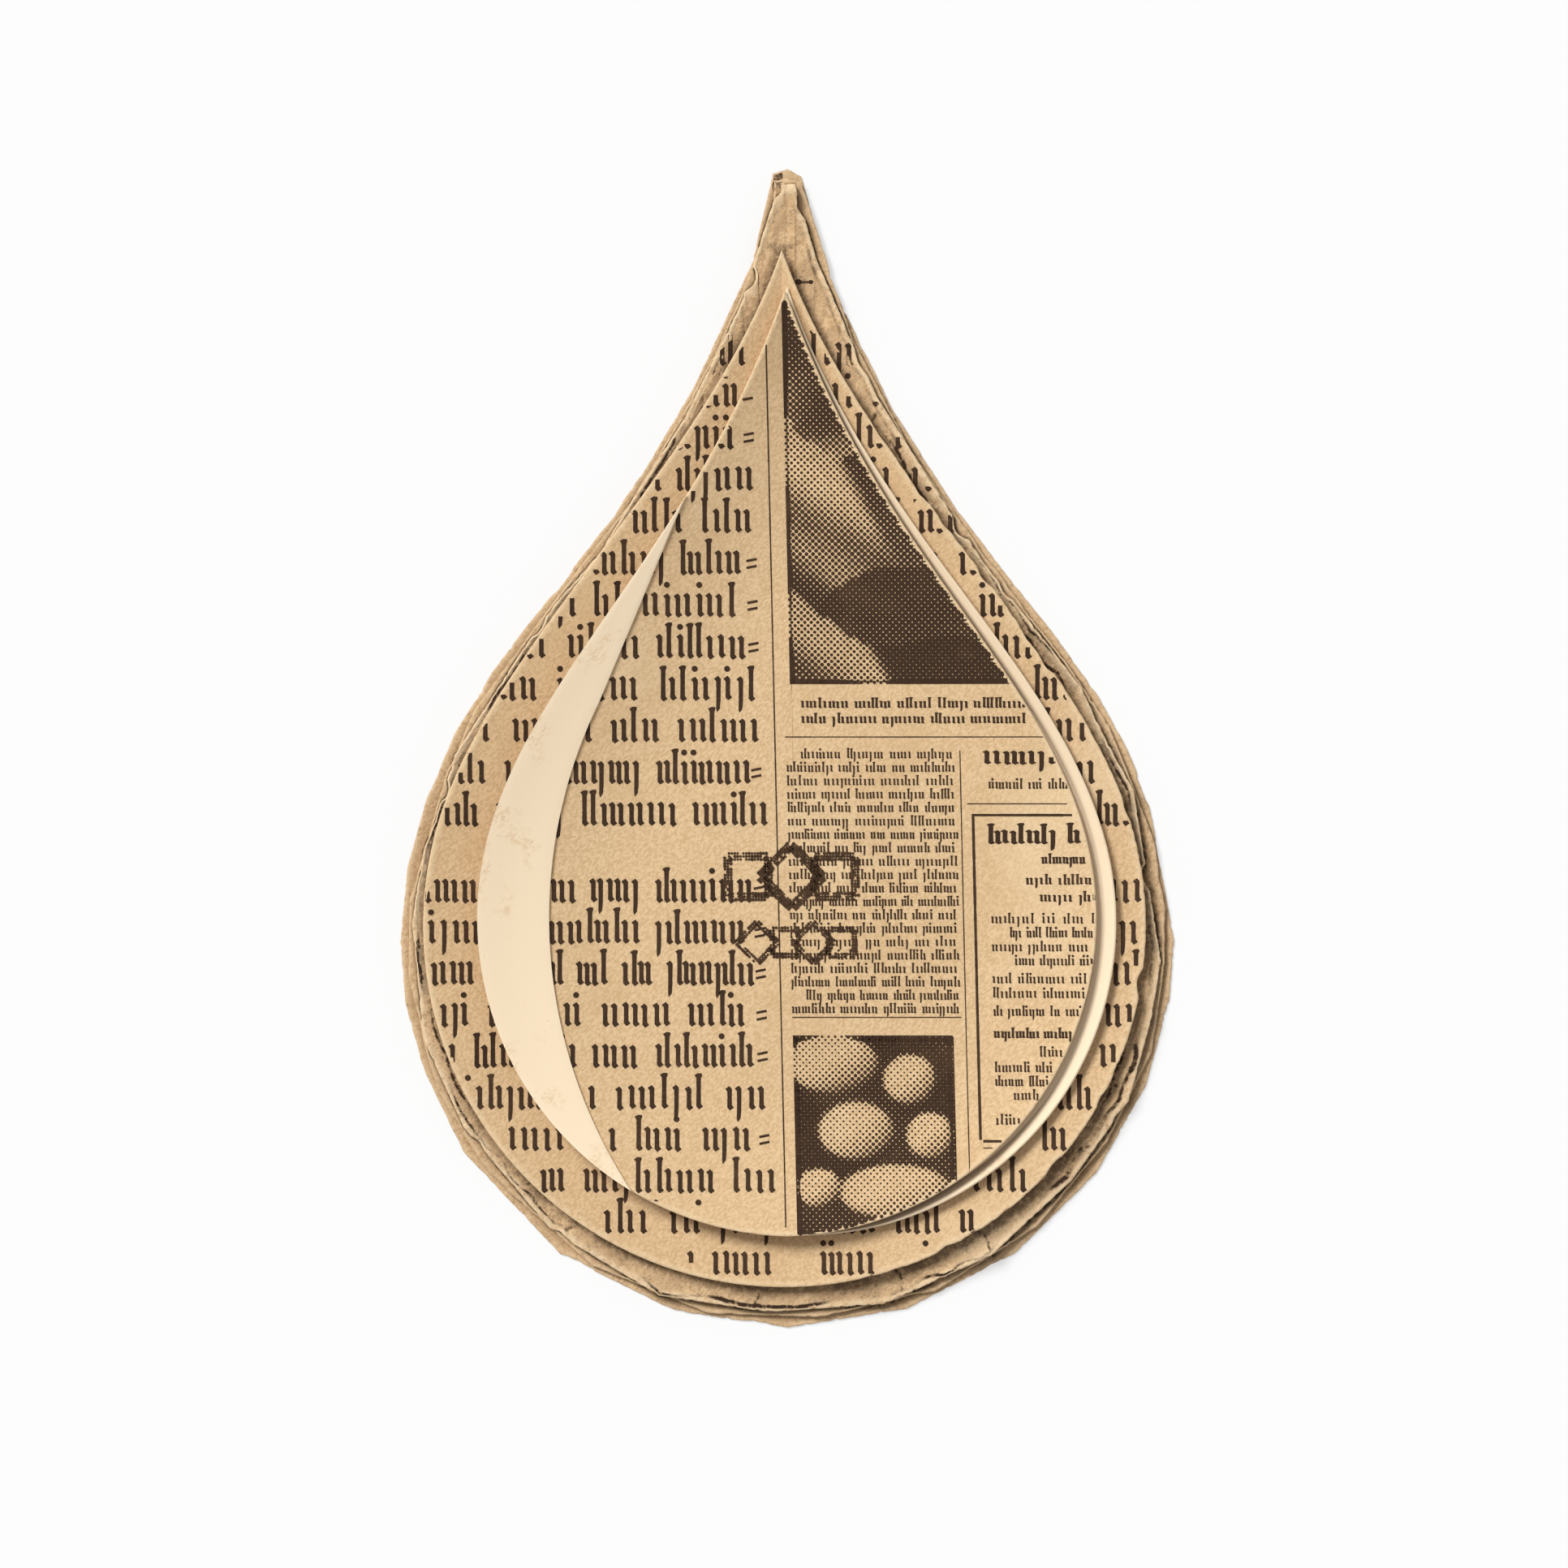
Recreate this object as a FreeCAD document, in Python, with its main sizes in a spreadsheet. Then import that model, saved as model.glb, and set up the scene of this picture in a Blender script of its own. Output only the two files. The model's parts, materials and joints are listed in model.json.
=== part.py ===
"""A drop-shaped ornament cut from an old folded newspaper, lying on its back.

Six leaves of thick, soft newsprint are stacked face up. Their middles are flat and glued,
and their rims curl up, each leaf more than the one under it, so that the stack fans open at
its edge. The three leaves at the back are crumpled: their outlines are straight runs
between creases, and the rims of the upper two wave up and down. The text leaf, the rim leaf
and the front leaf are cut smooth. The front leaf is trimmed along its right side, so that
the pale rim leaf shows there as a strip, and a pale crescent lies along its left edge.

Frame: +Z is up, out of the printed face. +Y points to the drop's tip. The origin is the
middle of the back leaf's underside. Sizes are in millimetres.
"""

import FreeCAD, Part
import math
import os

from FreeCAD import Vector

# Driving dimensions: alias, value, what it is
SIZES = [
    ("drop_height", 257.0, "back leaf, foot to tip"),
    ("drop_width", 171.6, "back leaf, side to side"),
    ("tip_width", 6.4, "back leaf, across the blunt tip"),
    ("blend_angle", 15.0, "degrees above the bulb's centre where the round bulb ends"),
    ("tip_angle", 19.0, "degrees between a flank and the middle line at the tip"),
    ("bulb_pull", 0.66, "how far a crumpled leaf's flank follows the bulb, in bulb radii"),
    ("tip_pull", 1.16, "how far a crumpled leaf's flank follows its tip, in bulb radii"),
    ("leaf_thickness", 0.5, "every leaf"),
    ("glue_film", 0.1, "between one leaf's flat middle and the next"),
    ("flat_share", 0.5, "share of a leaf, from its heart outwards, that lies flat"),
    ("middle_margin", 1.3, "middle leaf inside the back leaf"),
    ("middle_lift", 0.6, "middle leaf, rise of its rim"),
    ("border_margin", 2.2, "border leaf inside the back leaf"),
    ("border_lift", 1.3, "border leaf, rise of its rim"),
    ("pleat_depth", 0.35, "how much a crumpled rim waves up and down, share of its lift"),
    ("ragged", 0.8, "how far a crumpled outline wanders inwards"),
    ("text_side_margin", 5.8, "text leaf inside the back leaf, at the sides"),
    ("text_foot_margin", 9.2, "text leaf inside the back leaf, at the foot"),
    ("text_tip_margin", 18.0, "text leaf inside the back leaf, at the tip"),
    ("text_shift", -0.6, "text leaf to the right of the back leaf"),
    ("text_tip_lean", -0.6, "text leaf's tip to the right of its bulb's centre"),
    ("text_bulb_pull", 0.53, "how far the text leaf's flank follows its bulb"),
    ("text_tip_pull", 0.65, "how far the text leaf's flank follows its tip"),
    ("text_lift", 3.3, "text leaf, rise of its rim"),
    ("front_side_margin", 9.6, "front leaf inside the text leaf, at the sides"),
    ("front_foot_margin", 11.3, "front leaf inside the text leaf, at the foot"),
    ("front_tip_margin", 7.9, "front leaf inside the text leaf, at the tip"),
    ("front_shift", 2.5, "front leaf to the right of the text leaf"),
    ("front_tip_lean", -2.2, "front leaf's tip to the right of its bulb's centre"),
    ("front_bulb_pull", 0.56, "how far the front leaf's flank follows its bulb"),
    ("front_tip_pull", 0.87, "how far the front leaf's flank follows its tip"),
    ("front_lift", 5.6, "front leaf, rise of its rim"),
    ("trim_width", 3.9, "cut off the front leaf's right side, at the bulb"),
    ("trim_tip_width", 0.4, "cut off the front leaf's right side, at the tip"),
    ("rim_side_margin", 1.2, "rim leaf inside the front leaf before its trim, at the sides"),
    ("rim_foot_margin", 0.2, "rim leaf inside the front leaf, at the foot"),
    ("rim_tip_margin", 0.4, "rim leaf inside the front leaf, at the tip"),
    ("rim_shift", 1.7, "rim leaf to the right of the front leaf"),
    ("rim_tip_lean", -3.6, "rim leaf's tip to the right of its bulb's centre"),
    ("rim_bulb_pull", 0.61, "how far the rim leaf's flank follows its bulb"),
    ("rim_tip_pull", 0.84, "how far the rim leaf's flank follows its tip"),
    ("rim_lift", 3.2, "rim leaf, rise of its rim"),
    ("crescent_thickness", 0.6, "crescent"),
    ("crescent_width", 15.8, "crescent, across its belly"),
    ("crescent_radius", 108.5, "crescent, arc of its inner edge"),
    ("crescent_arc_top", 26.0, "degrees above its belly where that arc ends"),
    ("crescent_foot_drop", 62.0, "crescent, its foot below its belly"),
    ("crescent_tip_rise", 93.4, "crescent, its upper point above its belly"),
    ("crescent_gap", 0.1, "between the crescent and the front leaf's curled rim"),
]

# Where the crumpled leaves are creased: degrees about the bulb's centre, clockwise from
# the right, and then shares of the flank's curve from the bulb to the tip.
BULB_CREASES = [0, -9, -22, -37, -54, -72, -90, -107, -126, -147, -162, -171, -180, -191]
RIGHT_CREASES = [0.05, 0.14, 0.24, 0.37, 0.5, 0.62, 0.76, 0.9]
LEFT_CREASES = [0.06, 0.17, 0.29, 0.38, 0.48, 0.58, 0.68, 0.79, 0.92]

# Steps from the flat middle to the rim at which the curl's height is set
CURL_STEPS = [0.0, 1 / 3, 2 / 3, 1.0]

PARTS_FOLDER = "parts"
# From the bottom of the stack to its top
NODES = [
    "back_leaf",
    "middle_leaf",
    "border_leaf",
    "text_leaf",
    "rim_leaf",
    "front_leaf",
    "highlight_crescent",
]

doc = FreeCAD.newDocument("newspaper_drop")
sheet = doc.addObject("Spreadsheet::Sheet", "sizes")
for row, (alias, value, note) in enumerate(SIZES, start=1):
    sheet.set(f"A{row}", alias)
    sheet.set(f"B{row}", str(value))
    sheet.set(f"C{row}", note)
    sheet.setAlias(f"B{row}", alias)
doc.recompute()


def size(alias):
    """The value of a driving dimension, read from the sheet."""
    return float(sheet.get(alias))


class Outline:
    """A drop: a round bulb, two flanks curving in to a tip, and a rim that curls up."""

    def __init__(self, heart, radius, rise, base, lift, pulls, lean=0):
        self.heart = heart
        self.radius = radius
        self.rise = rise
        self.lean = lean
        self.base = base
        self.lift = lift
        self.bulb_pull, self.tip_pull = pulls

    def bulb_point(self, degrees):
        """A point of the bulb, measured about the heart from +X."""
        angle = math.radians(degrees)
        return self.heart + Vector(math.cos(angle), math.sin(angle), 0) * self.radius

    def flank_poles(self, side):
        """The four poles of a flank, from the bulb to the tip. side is 1 right, -1 left."""
        blend = math.radians(size("blend_angle"))
        lean = math.radians(size("tip_angle"))
        start = Vector(side * math.cos(blend), math.sin(blend), 0) * self.radius
        tip = Vector(self.lean, self.rise, 0)
        along_bulb = Vector(-side * math.sin(blend), math.cos(blend), 0)
        along_tip = Vector(side * math.sin(lean), -math.cos(lean), 0)
        poles = [
            start,
            start + along_bulb * self.bulb_pull * self.radius,
            tip + along_tip * self.tip_pull * self.radius,
            tip,
        ]
        return [self.heart + pole for pole in poles]

    def flank(self, side):
        """The curve of one flank."""
        curve = Part.BezierCurve()
        curve.setPoles(self.flank_poles(side))
        return curve

    def scaled(self, ratio):
        """The same drop drawn nearer its heart."""
        return Outline(
            self.heart,
            self.radius * ratio,
            self.rise * ratio,
            self.base,
            self.lift,
            (self.bulb_pull, self.tip_pull),
            self.lean * ratio,
        )

    def ratio_at(self, step):
        """How far out from the heart a curl step lies."""
        flat = size("flat_share")
        return flat + (1 - flat) * step


def back_outline():
    """The largest leaf's outline."""
    radius = size("drop_width") / 2
    heart = Vector(0, radius - size("drop_height") / 2, 0)
    pulls = (size("bulb_pull"), size("tip_pull"))
    return Outline(heart, radius, size("drop_height") - radius, 0, 0, pulls)


def even_outline(outer, name, margin):
    """A crumpled leaf's drop, an even margin inside the back leaf's."""
    lift = size(f"{name}_lift")
    radius = outer.radius - margin
    pulls = (outer.bulb_pull, outer.tip_pull)
    return Outline(outer.heart, radius, outer.rise - margin, leaf_base(f"{name}_leaf"), lift, pulls)


def inset_outline(outer, name):
    """A smooth leaf's drop, inside another by its margins at the sides, foot and tip."""
    radius = outer.radius - size(f"{name}_side_margin")
    foot_y = outer.heart.y - outer.radius + size(f"{name}_foot_margin")
    tip_y = outer.heart.y + outer.rise - size(f"{name}_tip_margin")
    heart = Vector(outer.heart.x + size(f"{name}_shift"), foot_y + radius, 0)
    rise = tip_y - heart.y
    pulls = (size(f"{name}_bulb_pull"), size(f"{name}_tip_pull"))
    lean = size(f"{name}_tip_lean")
    base = leaf_base(f"{name}_leaf")
    return Outline(heart, radius, rise, base, size(f"{name}_lift"), pulls, lean)


def check_state():
    """Stops if any object of the document failed to compute."""
    doc.recompute()
    for item in doc.Objects:
        if "Invalid" in item.State or "Error" in item.State:
            raise RuntimeError(f"{item.Label} is in state {item.State}")


def origin_plane(body, role):
    """One of a body's own origin planes."""
    return next(plane for plane in body.Origin.OriginFeatures if plane.Role == role)


def new_sketch(body, name, curves, height=None):
    """A sketch on the body's XY plane, holding the given curves, which close a profile.

    height is an expression of the sheet's sizes for its place above that plane.
    """
    sketch = body.newObject("Sketcher::SketchObject", name)
    sketch.AttachmentSupport = [(origin_plane(body, "XY_Plane"), "")]
    sketch.MapMode = "FlatFace"
    if height is not None:
        sketch.setExpression("AttachmentOffset.Base.z", height)
    sketch.addGeometry(curves, False)
    return sketch


def outline_curves(outline):
    """The three curves that close a smooth drop: its bulb and its two flanks."""
    blend = math.radians(size("blend_angle"))
    bulb = Part.Circle(outline.heart, Vector(0, 0, 1), outline.radius)
    return [
        Part.ArcOfCircle(bulb, math.pi - blend, 2 * math.pi + blend),
        outline.flank(1).toBSpline(),
        outline.flank(-1).toBSpline(),
    ]


def curled_leaf(body, outline, base, lift, thickness):
    """A smooth leaf with a curled rim, as a bowl that is padded at its rim and hollowed.

    base, lift and thickness are expressions of the sheet's sizes.
    """
    outer = []
    inner = []
    for index, step in enumerate(CURL_STEPS):
        curves = outline_curves(outline.scaled(outline.ratio_at(step)))
        height = f"{base} + {lift} * {step**2:.6f}"
        outer.append(new_sketch(body, f"{body.Name}_under{index}", curves, height=height))
        height = f"{height} + {thickness}"
        inner.append(new_sketch(body, f"{body.Name}_over{index}", curves, height=height))
    doc.recompute()

    bowl = body.newObject("PartDesign::AdditiveLoft", f"{body.Name}_bowl")
    bowl.Profile = outer[0]
    bowl.Sections = outer[1:]
    bowl.Ruled = True
    doc.recompute()

    rim = body.newObject("PartDesign::Pad", f"{body.Name}_rim")
    rim.Profile = outer[-1]
    rim.setExpression("Length", thickness)
    doc.recompute()

    hollow = body.newObject("PartDesign::SubtractiveLoft", f"{body.Name}_hollow")
    hollow.Profile = inner[0]
    hollow.Sections = inner[1:]
    hollow.Ruled = True
    doc.recompute()
    return body


def new_body(name):
    """An empty body with its own label."""
    body = doc.addObject("PartDesign::Body", name)
    body.Label = name
    return body


def crease_points(outline, turn=0.0, wander=0.0):
    """The corners of a crumpled leaf, clockwise from the right of the bulb.

    turn moves the creases along the outline, in degrees on the bulb. wander draws some of
    them inwards.
    """
    flank_turn = turn / 100
    points = [outline.bulb_point(degrees + turn) for degrees in BULB_CREASES]
    left = outline.flank(-1)
    points += [left.value(share + flank_turn) for share in LEFT_CREASES]
    blunt = size("tip_width") / 2
    tip = outline.heart + Vector(0, outline.rise, 0)
    points += [tip + Vector(-blunt, -blunt / 3, 0), tip, tip + Vector(blunt, -blunt / 2, 0)]
    right = outline.flank(1)
    points += [right.value(share - flank_turn) for share in reversed(RIGHT_CREASES)]
    drawn_in = []
    for index, point in enumerate(points):
        inwards = (outline.heart - point).normalize()
        drawn_in.append(point + inwards * wander * (1 + wave(index)) / 2)
    return drawn_in


def wave(index):
    """An uneven wave over the creases, between -1 and 1."""
    golden_turn = 2.4
    return math.sin(golden_turn * index)


def triangle(first, second, third):
    """A flat facet."""
    return Part.Face(Part.makePolygon([first, second, third, first]))


def quad(first, second, third, fourth):
    """Two facets, or one or none where corners coincide."""
    facets = []
    for corners in ((first, second, third), (third, second, fourth)):
        a, b, c = corners
        if a != b and b != c and a != c:
            facets.append(triangle(a, b, c))
    return facets


def strip(first, second, closed=True):
    """The facets between two rows of as many points."""
    facets = []
    count = len(first)
    for index in range(count if closed else count - 1):
        after = (index + 1) % count
        facets += quad(first[index], first[after], second[index], second[after])
    return facets


def flat_middle(ring):
    """The flat face inside a ring."""
    return Part.Face(Part.makePolygon(ring + ring[:1]))


def closed_solid(faces):
    """One solid from faces that meet edge to edge."""
    shell = Part.Shell(faces)
    shell.sewShape()
    solid = Part.Solid(shell)
    if solid.Volume < 0:
        solid.reverse()
    return solid


def crumpled_leaf(outline, corners, phase):
    """A leaf with straight runs between creases, and a rim that waves up and down.

    The faces between creases are folded flat facets, joined to a flat middle.
    """
    pleat = size("pleat_depth")

    def ring(step, raised):
        points = []
        for index, corner in enumerate(corners):
            arm = (corner - outline.heart) * outline.ratio_at(step)
            lift = outline.lift * step**2 * (1 + pleat * wave(index + phase))
            points.append(outline.heart + arm + Vector(0, 0, outline.base + lift + raised))
        return points

    faces = []
    edges = []
    for raised in (0, size("leaf_thickness")):
        rings = [ring(step, raised) for step in CURL_STEPS]
        faces.append(flat_middle(rings[0]))
        for first, second in zip(rings, rings[1:]):
            faces += strip(first, second)
        edges.append(rings[-1])
    faces += strip(*edges)
    return closed_solid(faces)


def make_back_leaf(outline):
    """The leaf that lies on the table: a flat sheet with a creased outline."""
    corners = crease_points(outline)
    body = new_body("back_leaf")
    curves = [
        Part.LineSegment(corner, corners[(index + 1) % len(corners)])
        for index, corner in enumerate(corners)
    ]
    profile = new_sketch(body, "back_outline", curves)
    pad = body.newObject("PartDesign::Pad", "back_sheet")
    pad.Profile = profile
    pad.setExpression("Length", "sizes.leaf_thickness")
    doc.recompute()
    return body


def make_crumpled(name, outline, turn, phase):
    """One of the two crumpled leaves over the back leaf."""
    leaf = doc.addObject("Part::Feature", name)
    leaf.Label = name
    corners = crease_points(outline, turn, size("ragged"))
    leaf.Shape = crumpled_leaf(outline, corners, phase)
    return leaf


def make_smooth(name, outline):
    """A smooth leaf of its full outline."""
    base = base_expression(f"{name}_leaf")
    return curled_leaf(
        new_body(f"{name}_leaf"), outline, base, f"sizes.{name}_lift", "sizes.leaf_thickness"
    )


def common_shape(name, blank, cutter):
    """What a blank and a cutter share."""
    shared = doc.addObject("Part::Common", name)
    shared.Label = name
    shared.Base = blank
    shared.Tool = cutter
    doc.recompute()
    return shared


def make_front_leaf(outline):
    """The printed front leaf, cut off along its right side."""
    blank = new_body("front_blank")
    base = base_expression("front_leaf")
    curled_leaf(blank, outline, base, "sizes.front_lift", "sizes.leaf_thickness")
    trim = Outline(
        outline.heart - Vector(size("trim_width"), 0, 0),
        outline.radius,
        outline.rise,
        outline.base,
        outline.lift,
        (outline.bulb_pull, outline.tip_pull),
        outline.lean + size("trim_width") - size("trim_tip_width"),
    )
    cutter = new_body("front_cutter")
    profile = new_sketch(cutter, "front_trim", outline_curves(trim))
    pad = cutter.newObject("PartDesign::Pad", "front_prism")
    pad.Profile = profile
    pad.setExpression("Length", f"{base} + sizes.front_lift + 2 * sizes.leaf_thickness")
    doc.recompute()
    return common_shape("front_leaf", blank, cutter)


def make_crescent(outline):
    """A pale crescent that follows the front leaf's face along its left edge."""
    blank = new_body("crescent_blank")
    base = base_expression("front_leaf")
    lifted = f"{base} + sizes.leaf_thickness + sizes.crescent_gap"
    curled_leaf(blank, outline, lifted, "sizes.front_lift", "sizes.crescent_thickness")

    belly = outline.heart + Vector(size("crescent_width") - outline.radius, 0, 0)
    centre = belly + Vector(size("crescent_radius"), 0, 0)
    foot_angle = math.pi + math.asin(size("crescent_foot_drop") / size("crescent_radius"))
    arc_top = math.pi - math.radians(size("crescent_arc_top"))
    inner = Part.ArcOfCircle(
        Part.Circle(centre, Vector(0, 0, 1), size("crescent_radius")), arc_top, foot_angle
    )
    tip_y = belly.y + size("crescent_tip_rise")
    tip = Vector(left_edge_at(outline, tip_y), tip_y, 0)
    beyond = outline.heart - Vector(2 * outline.radius, 0, 0)
    top_corner = Vector(beyond.x, tip_y, 0)
    foot_corner = Vector(beyond.x, inner.EndPoint.y, 0)
    cutter = new_body("crescent_cutter")
    profile = new_sketch(
        cutter,
        "crescent_edge",
        [
            inner,
            Part.LineSegment(inner.EndPoint, foot_corner),
            Part.LineSegment(foot_corner, top_corner),
            Part.LineSegment(top_corner, tip),
            Part.LineSegment(tip, inner.StartPoint),
        ],
    )
    pad = cutter.newObject("PartDesign::Pad", "crescent_prism")
    pad.Profile = profile
    pad.setExpression("Length", f"{lifted} + sizes.front_lift + 2 * sizes.crescent_thickness")
    doc.recompute()
    return common_shape("highlight_crescent", blank, cutter)


def left_edge_at(outline, height):
    """The x of a drop's left flank at a height, found by halving."""
    flank = outline.flank(-1)
    low, high = 0.0, 1.0
    for _ in range(40):
        middle = (low + high) / 2
        if flank.value(middle).y < height:
            low = middle
        else:
            high = middle
    return flank.value(low).x


def leaf_base(node):
    """The height of a leaf's flat underside, by its place in the stack."""
    return NODES.index(node) * (size("leaf_thickness") + size("glue_film"))


def base_expression(node):
    """The same height as an expression of the sheet's sizes."""
    return f"{NODES.index(node)} * (sizes.leaf_thickness + sizes.glue_film)"


back = back_outline()
middle = even_outline(back, "middle", size("middle_margin"))
border = even_outline(back, "border", size("border_margin"))
text = inset_outline(back, "text")
front = inset_outline(text, "front")
rim = inset_outline(front, "rim")

make_back_leaf(back)
make_crumpled("middle_leaf", middle, turn=5, phase=0)
make_crumpled("border_leaf", border, turn=-3, phase=2)
make_smooth("text", text)
make_smooth("rim", rim)
make_front_leaf(front)
make_crescent(front)
check_state()

os.makedirs(PARTS_FOLDER, exist_ok=True)
for node in NODES:
    shape = doc.getObjectsByLabel(node)[0].Shape
    if shape.isNull() or not shape.isValid():
        raise RuntimeError(f"{node} has no valid shape")
    shape.exportStep(f"{PARTS_FOLDER}/{node}.step")
    box = shape.BoundBox
    print(node, len(shape.Solids), round(shape.Volume, 1), round(box.ZMin, 2), round(box.ZMax, 2))
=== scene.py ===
"""A water-drop ornament cut from old newsprint, dressed for a studio picture.

Six leaves lie on each other, each smaller than the one under it. The three lower ones are
crumpled, and the text leaf, the pale rim leaf and the front leaf are cut smooth. The front
leaf is trimmed at its right, where the rim leaf shows, and a pale crescent lies on its left
edge. Design sizes are in millimetres, meshes in metres. Places that the frame knows are read
from it.
"""

import json
import logging
import math
import random
from collections.abc import Callable, Sequence
from dataclasses import dataclass, field, replace
from enum import IntEnum

import bmesh
import bpy
import numpy as np
from mathutils import Euler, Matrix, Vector

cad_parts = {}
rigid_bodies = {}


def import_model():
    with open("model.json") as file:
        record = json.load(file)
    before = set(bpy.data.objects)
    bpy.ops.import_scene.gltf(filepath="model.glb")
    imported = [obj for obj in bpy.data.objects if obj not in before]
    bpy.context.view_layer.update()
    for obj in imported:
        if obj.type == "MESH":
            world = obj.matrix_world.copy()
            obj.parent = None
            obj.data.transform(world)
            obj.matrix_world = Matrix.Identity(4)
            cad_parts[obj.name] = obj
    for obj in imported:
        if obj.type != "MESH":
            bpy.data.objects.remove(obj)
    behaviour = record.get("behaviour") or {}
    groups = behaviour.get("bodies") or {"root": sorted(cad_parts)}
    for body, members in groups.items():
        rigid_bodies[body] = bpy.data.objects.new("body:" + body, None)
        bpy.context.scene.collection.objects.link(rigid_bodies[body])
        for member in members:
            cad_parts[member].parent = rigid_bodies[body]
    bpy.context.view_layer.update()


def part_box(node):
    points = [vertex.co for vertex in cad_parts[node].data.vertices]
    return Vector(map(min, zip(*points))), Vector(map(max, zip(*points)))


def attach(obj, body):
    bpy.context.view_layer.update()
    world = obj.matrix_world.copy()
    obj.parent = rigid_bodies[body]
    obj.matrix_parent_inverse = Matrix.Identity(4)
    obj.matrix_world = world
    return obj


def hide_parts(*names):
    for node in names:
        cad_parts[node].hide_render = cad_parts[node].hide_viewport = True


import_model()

LOG = logging.getLogger("drop")
MM = 0.001
SEED = 11
FAR = 99.0

Array = np.ndarray
Colour = tuple[float, float, float]


def linear(red: int, green: int, blue: int) -> tuple[float, float, float, float]:
    """A colour written from 0 to 255, as Blender's shaders take it.

    Args:
        red: Red, 0 to 255.
        green: Green, 0 to 255.
        blue: Blue, 0 to 255.

    Returns:
        The same colour in linear light, with an alpha of 1.
    """
    channels = []
    for level in (red, green, blue):
        share = level / 255
        channels.append(share / 12.92 if share <= 0.04045 else ((share + 0.055) / 1.055) ** 2.4)
    return (*channels, 1.0)


def ripples(x: Array, y: Array, wavelength: float, seed: int, waves: int = 9) -> Array:
    """A smooth uneven field, made of plane waves in random directions.

    Args:
        x: Places across, in millimetres.
        y: Places along, in millimetres.
        wavelength: The middle wavelength, in millimetres.
        seed: Fixes the directions and phases.
        waves: How many waves are added.

    Returns:
        Values that mostly lie between -1 and 1.
    """
    rng = np.random.default_rng(seed)
    total = np.zeros_like(x, dtype=float)
    for _ in range(waves):
        heading = rng.uniform(0, 2 * math.pi)
        phase = rng.uniform(0, 2 * math.pi)
        turns = 2 * math.pi / (wavelength * rng.uniform(0.6, 1.6))
        total += np.sin(turns * (x * math.cos(heading) + y * math.sin(heading)) + phase)
    return total / math.sqrt(2 * waves)


def smooth_step(low: float, high: float, value: Array) -> Array:
    """0 below low, 1 above high, and an even curve between them."""
    share = np.clip((value - low) / (high - low), 0, 1)
    return share * share * (3 - 2 * share)


# Outlines


@dataclass(frozen=True)
class Drop:
    """The outline of one leaf: a round bulb with two flanks that meet in a tip.

    Lengths are in millimetres. Angles are in degrees, and pulls in bulb radii.
    """

    heart_x: float
    heart_y: float
    radius: float
    rise: float
    lean: float = 0.0
    blend_angle: float = 15.0
    tip_angle: float = 19.0
    bulb_pull: float = 0.66
    tip_pull: float = 1.16

    @classmethod
    def from_node(cls, node: str, trimmed: float = 0.0, **shape: float) -> "Drop":
        """The drop that fills a CAD node's box.

        Args:
            node: The node's name.
            trimmed: How much was cut off its right.
            **shape: Its lean and pulls.

        Returns:
            The drop, with what was cut off.
        """
        low, high = (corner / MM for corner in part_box(node))
        radius = (high.x - low.x + trimmed) / 2
        heart_y = low.y + radius
        return cls(low.x + radius, heart_y, radius, high.y - heart_y, **shape)

    def moved(self, across: float, tip_across: float) -> "Drop":
        """The same drop moved to the right, and its tip by another amount."""
        lean = self.lean + tip_across - across
        return replace(self, heart_x=self.heart_x + across, lean=lean)

    def bulb(self, degrees: Array) -> Array:
        """Points of the bulb at angles about the heart, counted from +X."""
        angle = np.radians(degrees)
        around = np.stack([np.cos(angle), np.sin(angle)], axis=-1)
        return np.array([self.heart_x, self.heart_y]) + around * self.radius

    def flank(self, side: int, share: Array) -> Array:
        """Points of a flank.

        Args:
            side: 1 for the right flank, -1 for the left.
            share: Shares of the way from the bulb to the tip.

        Returns:
            One point for each share.
        """
        blend = math.radians(self.blend_angle)
        slant = math.radians(self.tip_angle)
        start = np.array([side * math.cos(blend), math.sin(blend)]) * self.radius
        tip = np.array([self.lean, self.rise])
        bulb_arm = np.array([-side * math.sin(blend), math.cos(blend)])
        tip_arm = np.array([side * math.sin(slant), -math.cos(slant)])
        near = start + bulb_arm * self.bulb_pull * self.radius
        far = tip + tip_arm * self.tip_pull * self.radius
        t = np.asarray(share, dtype=float)[..., None]
        curve = start * (1 - t) ** 3 + near * 3 * t * (1 - t) ** 2
        curve = curve + far * 3 * t**2 * (1 - t) + tip * t**3
        return curve + np.array([self.heart_x, self.heart_y])

    def rim(self, flank_steps: int, bulb_steps: int) -> Array:
        """The whole outline, clockwise from the tip.

        Args:
            flank_steps: Points on each flank.
            bulb_steps: Spans round the bulb.

        Returns:
            The points, as rows of x and y.
        """
        down = self.flank(1, 1 - np.arange(flank_steps) / flank_steps)
        sweep = 180 + 2 * self.blend_angle
        turned = sweep * np.arange(bulb_steps + 1) / bulb_steps
        round_bulb = self.bulb(self.blend_angle - turned)
        up = self.flank(-1, np.arange(1, flank_steps) / flank_steps)
        return np.concatenate([down, round_bulb, up])


@dataclass(frozen=True)
class Curl:
    """How a leaf's underside rises from its flat middle to its rim, in millimetres."""

    base: float
    lift: float
    flat_share: float = 0.5
    thickness: float = 0.5

    def step(self, ratio: Array) -> Array:
        """How far up the curl a place lies, from 0 in the flat middle to 1 at the rim."""
        return np.clip((ratio - self.flat_share) / (1 - self.flat_share), 0, None)

    def height(self, ratio: Array) -> Array:
        """The underside's height."""
        return self.base + self.lift * self.step(ratio) ** 2


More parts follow.
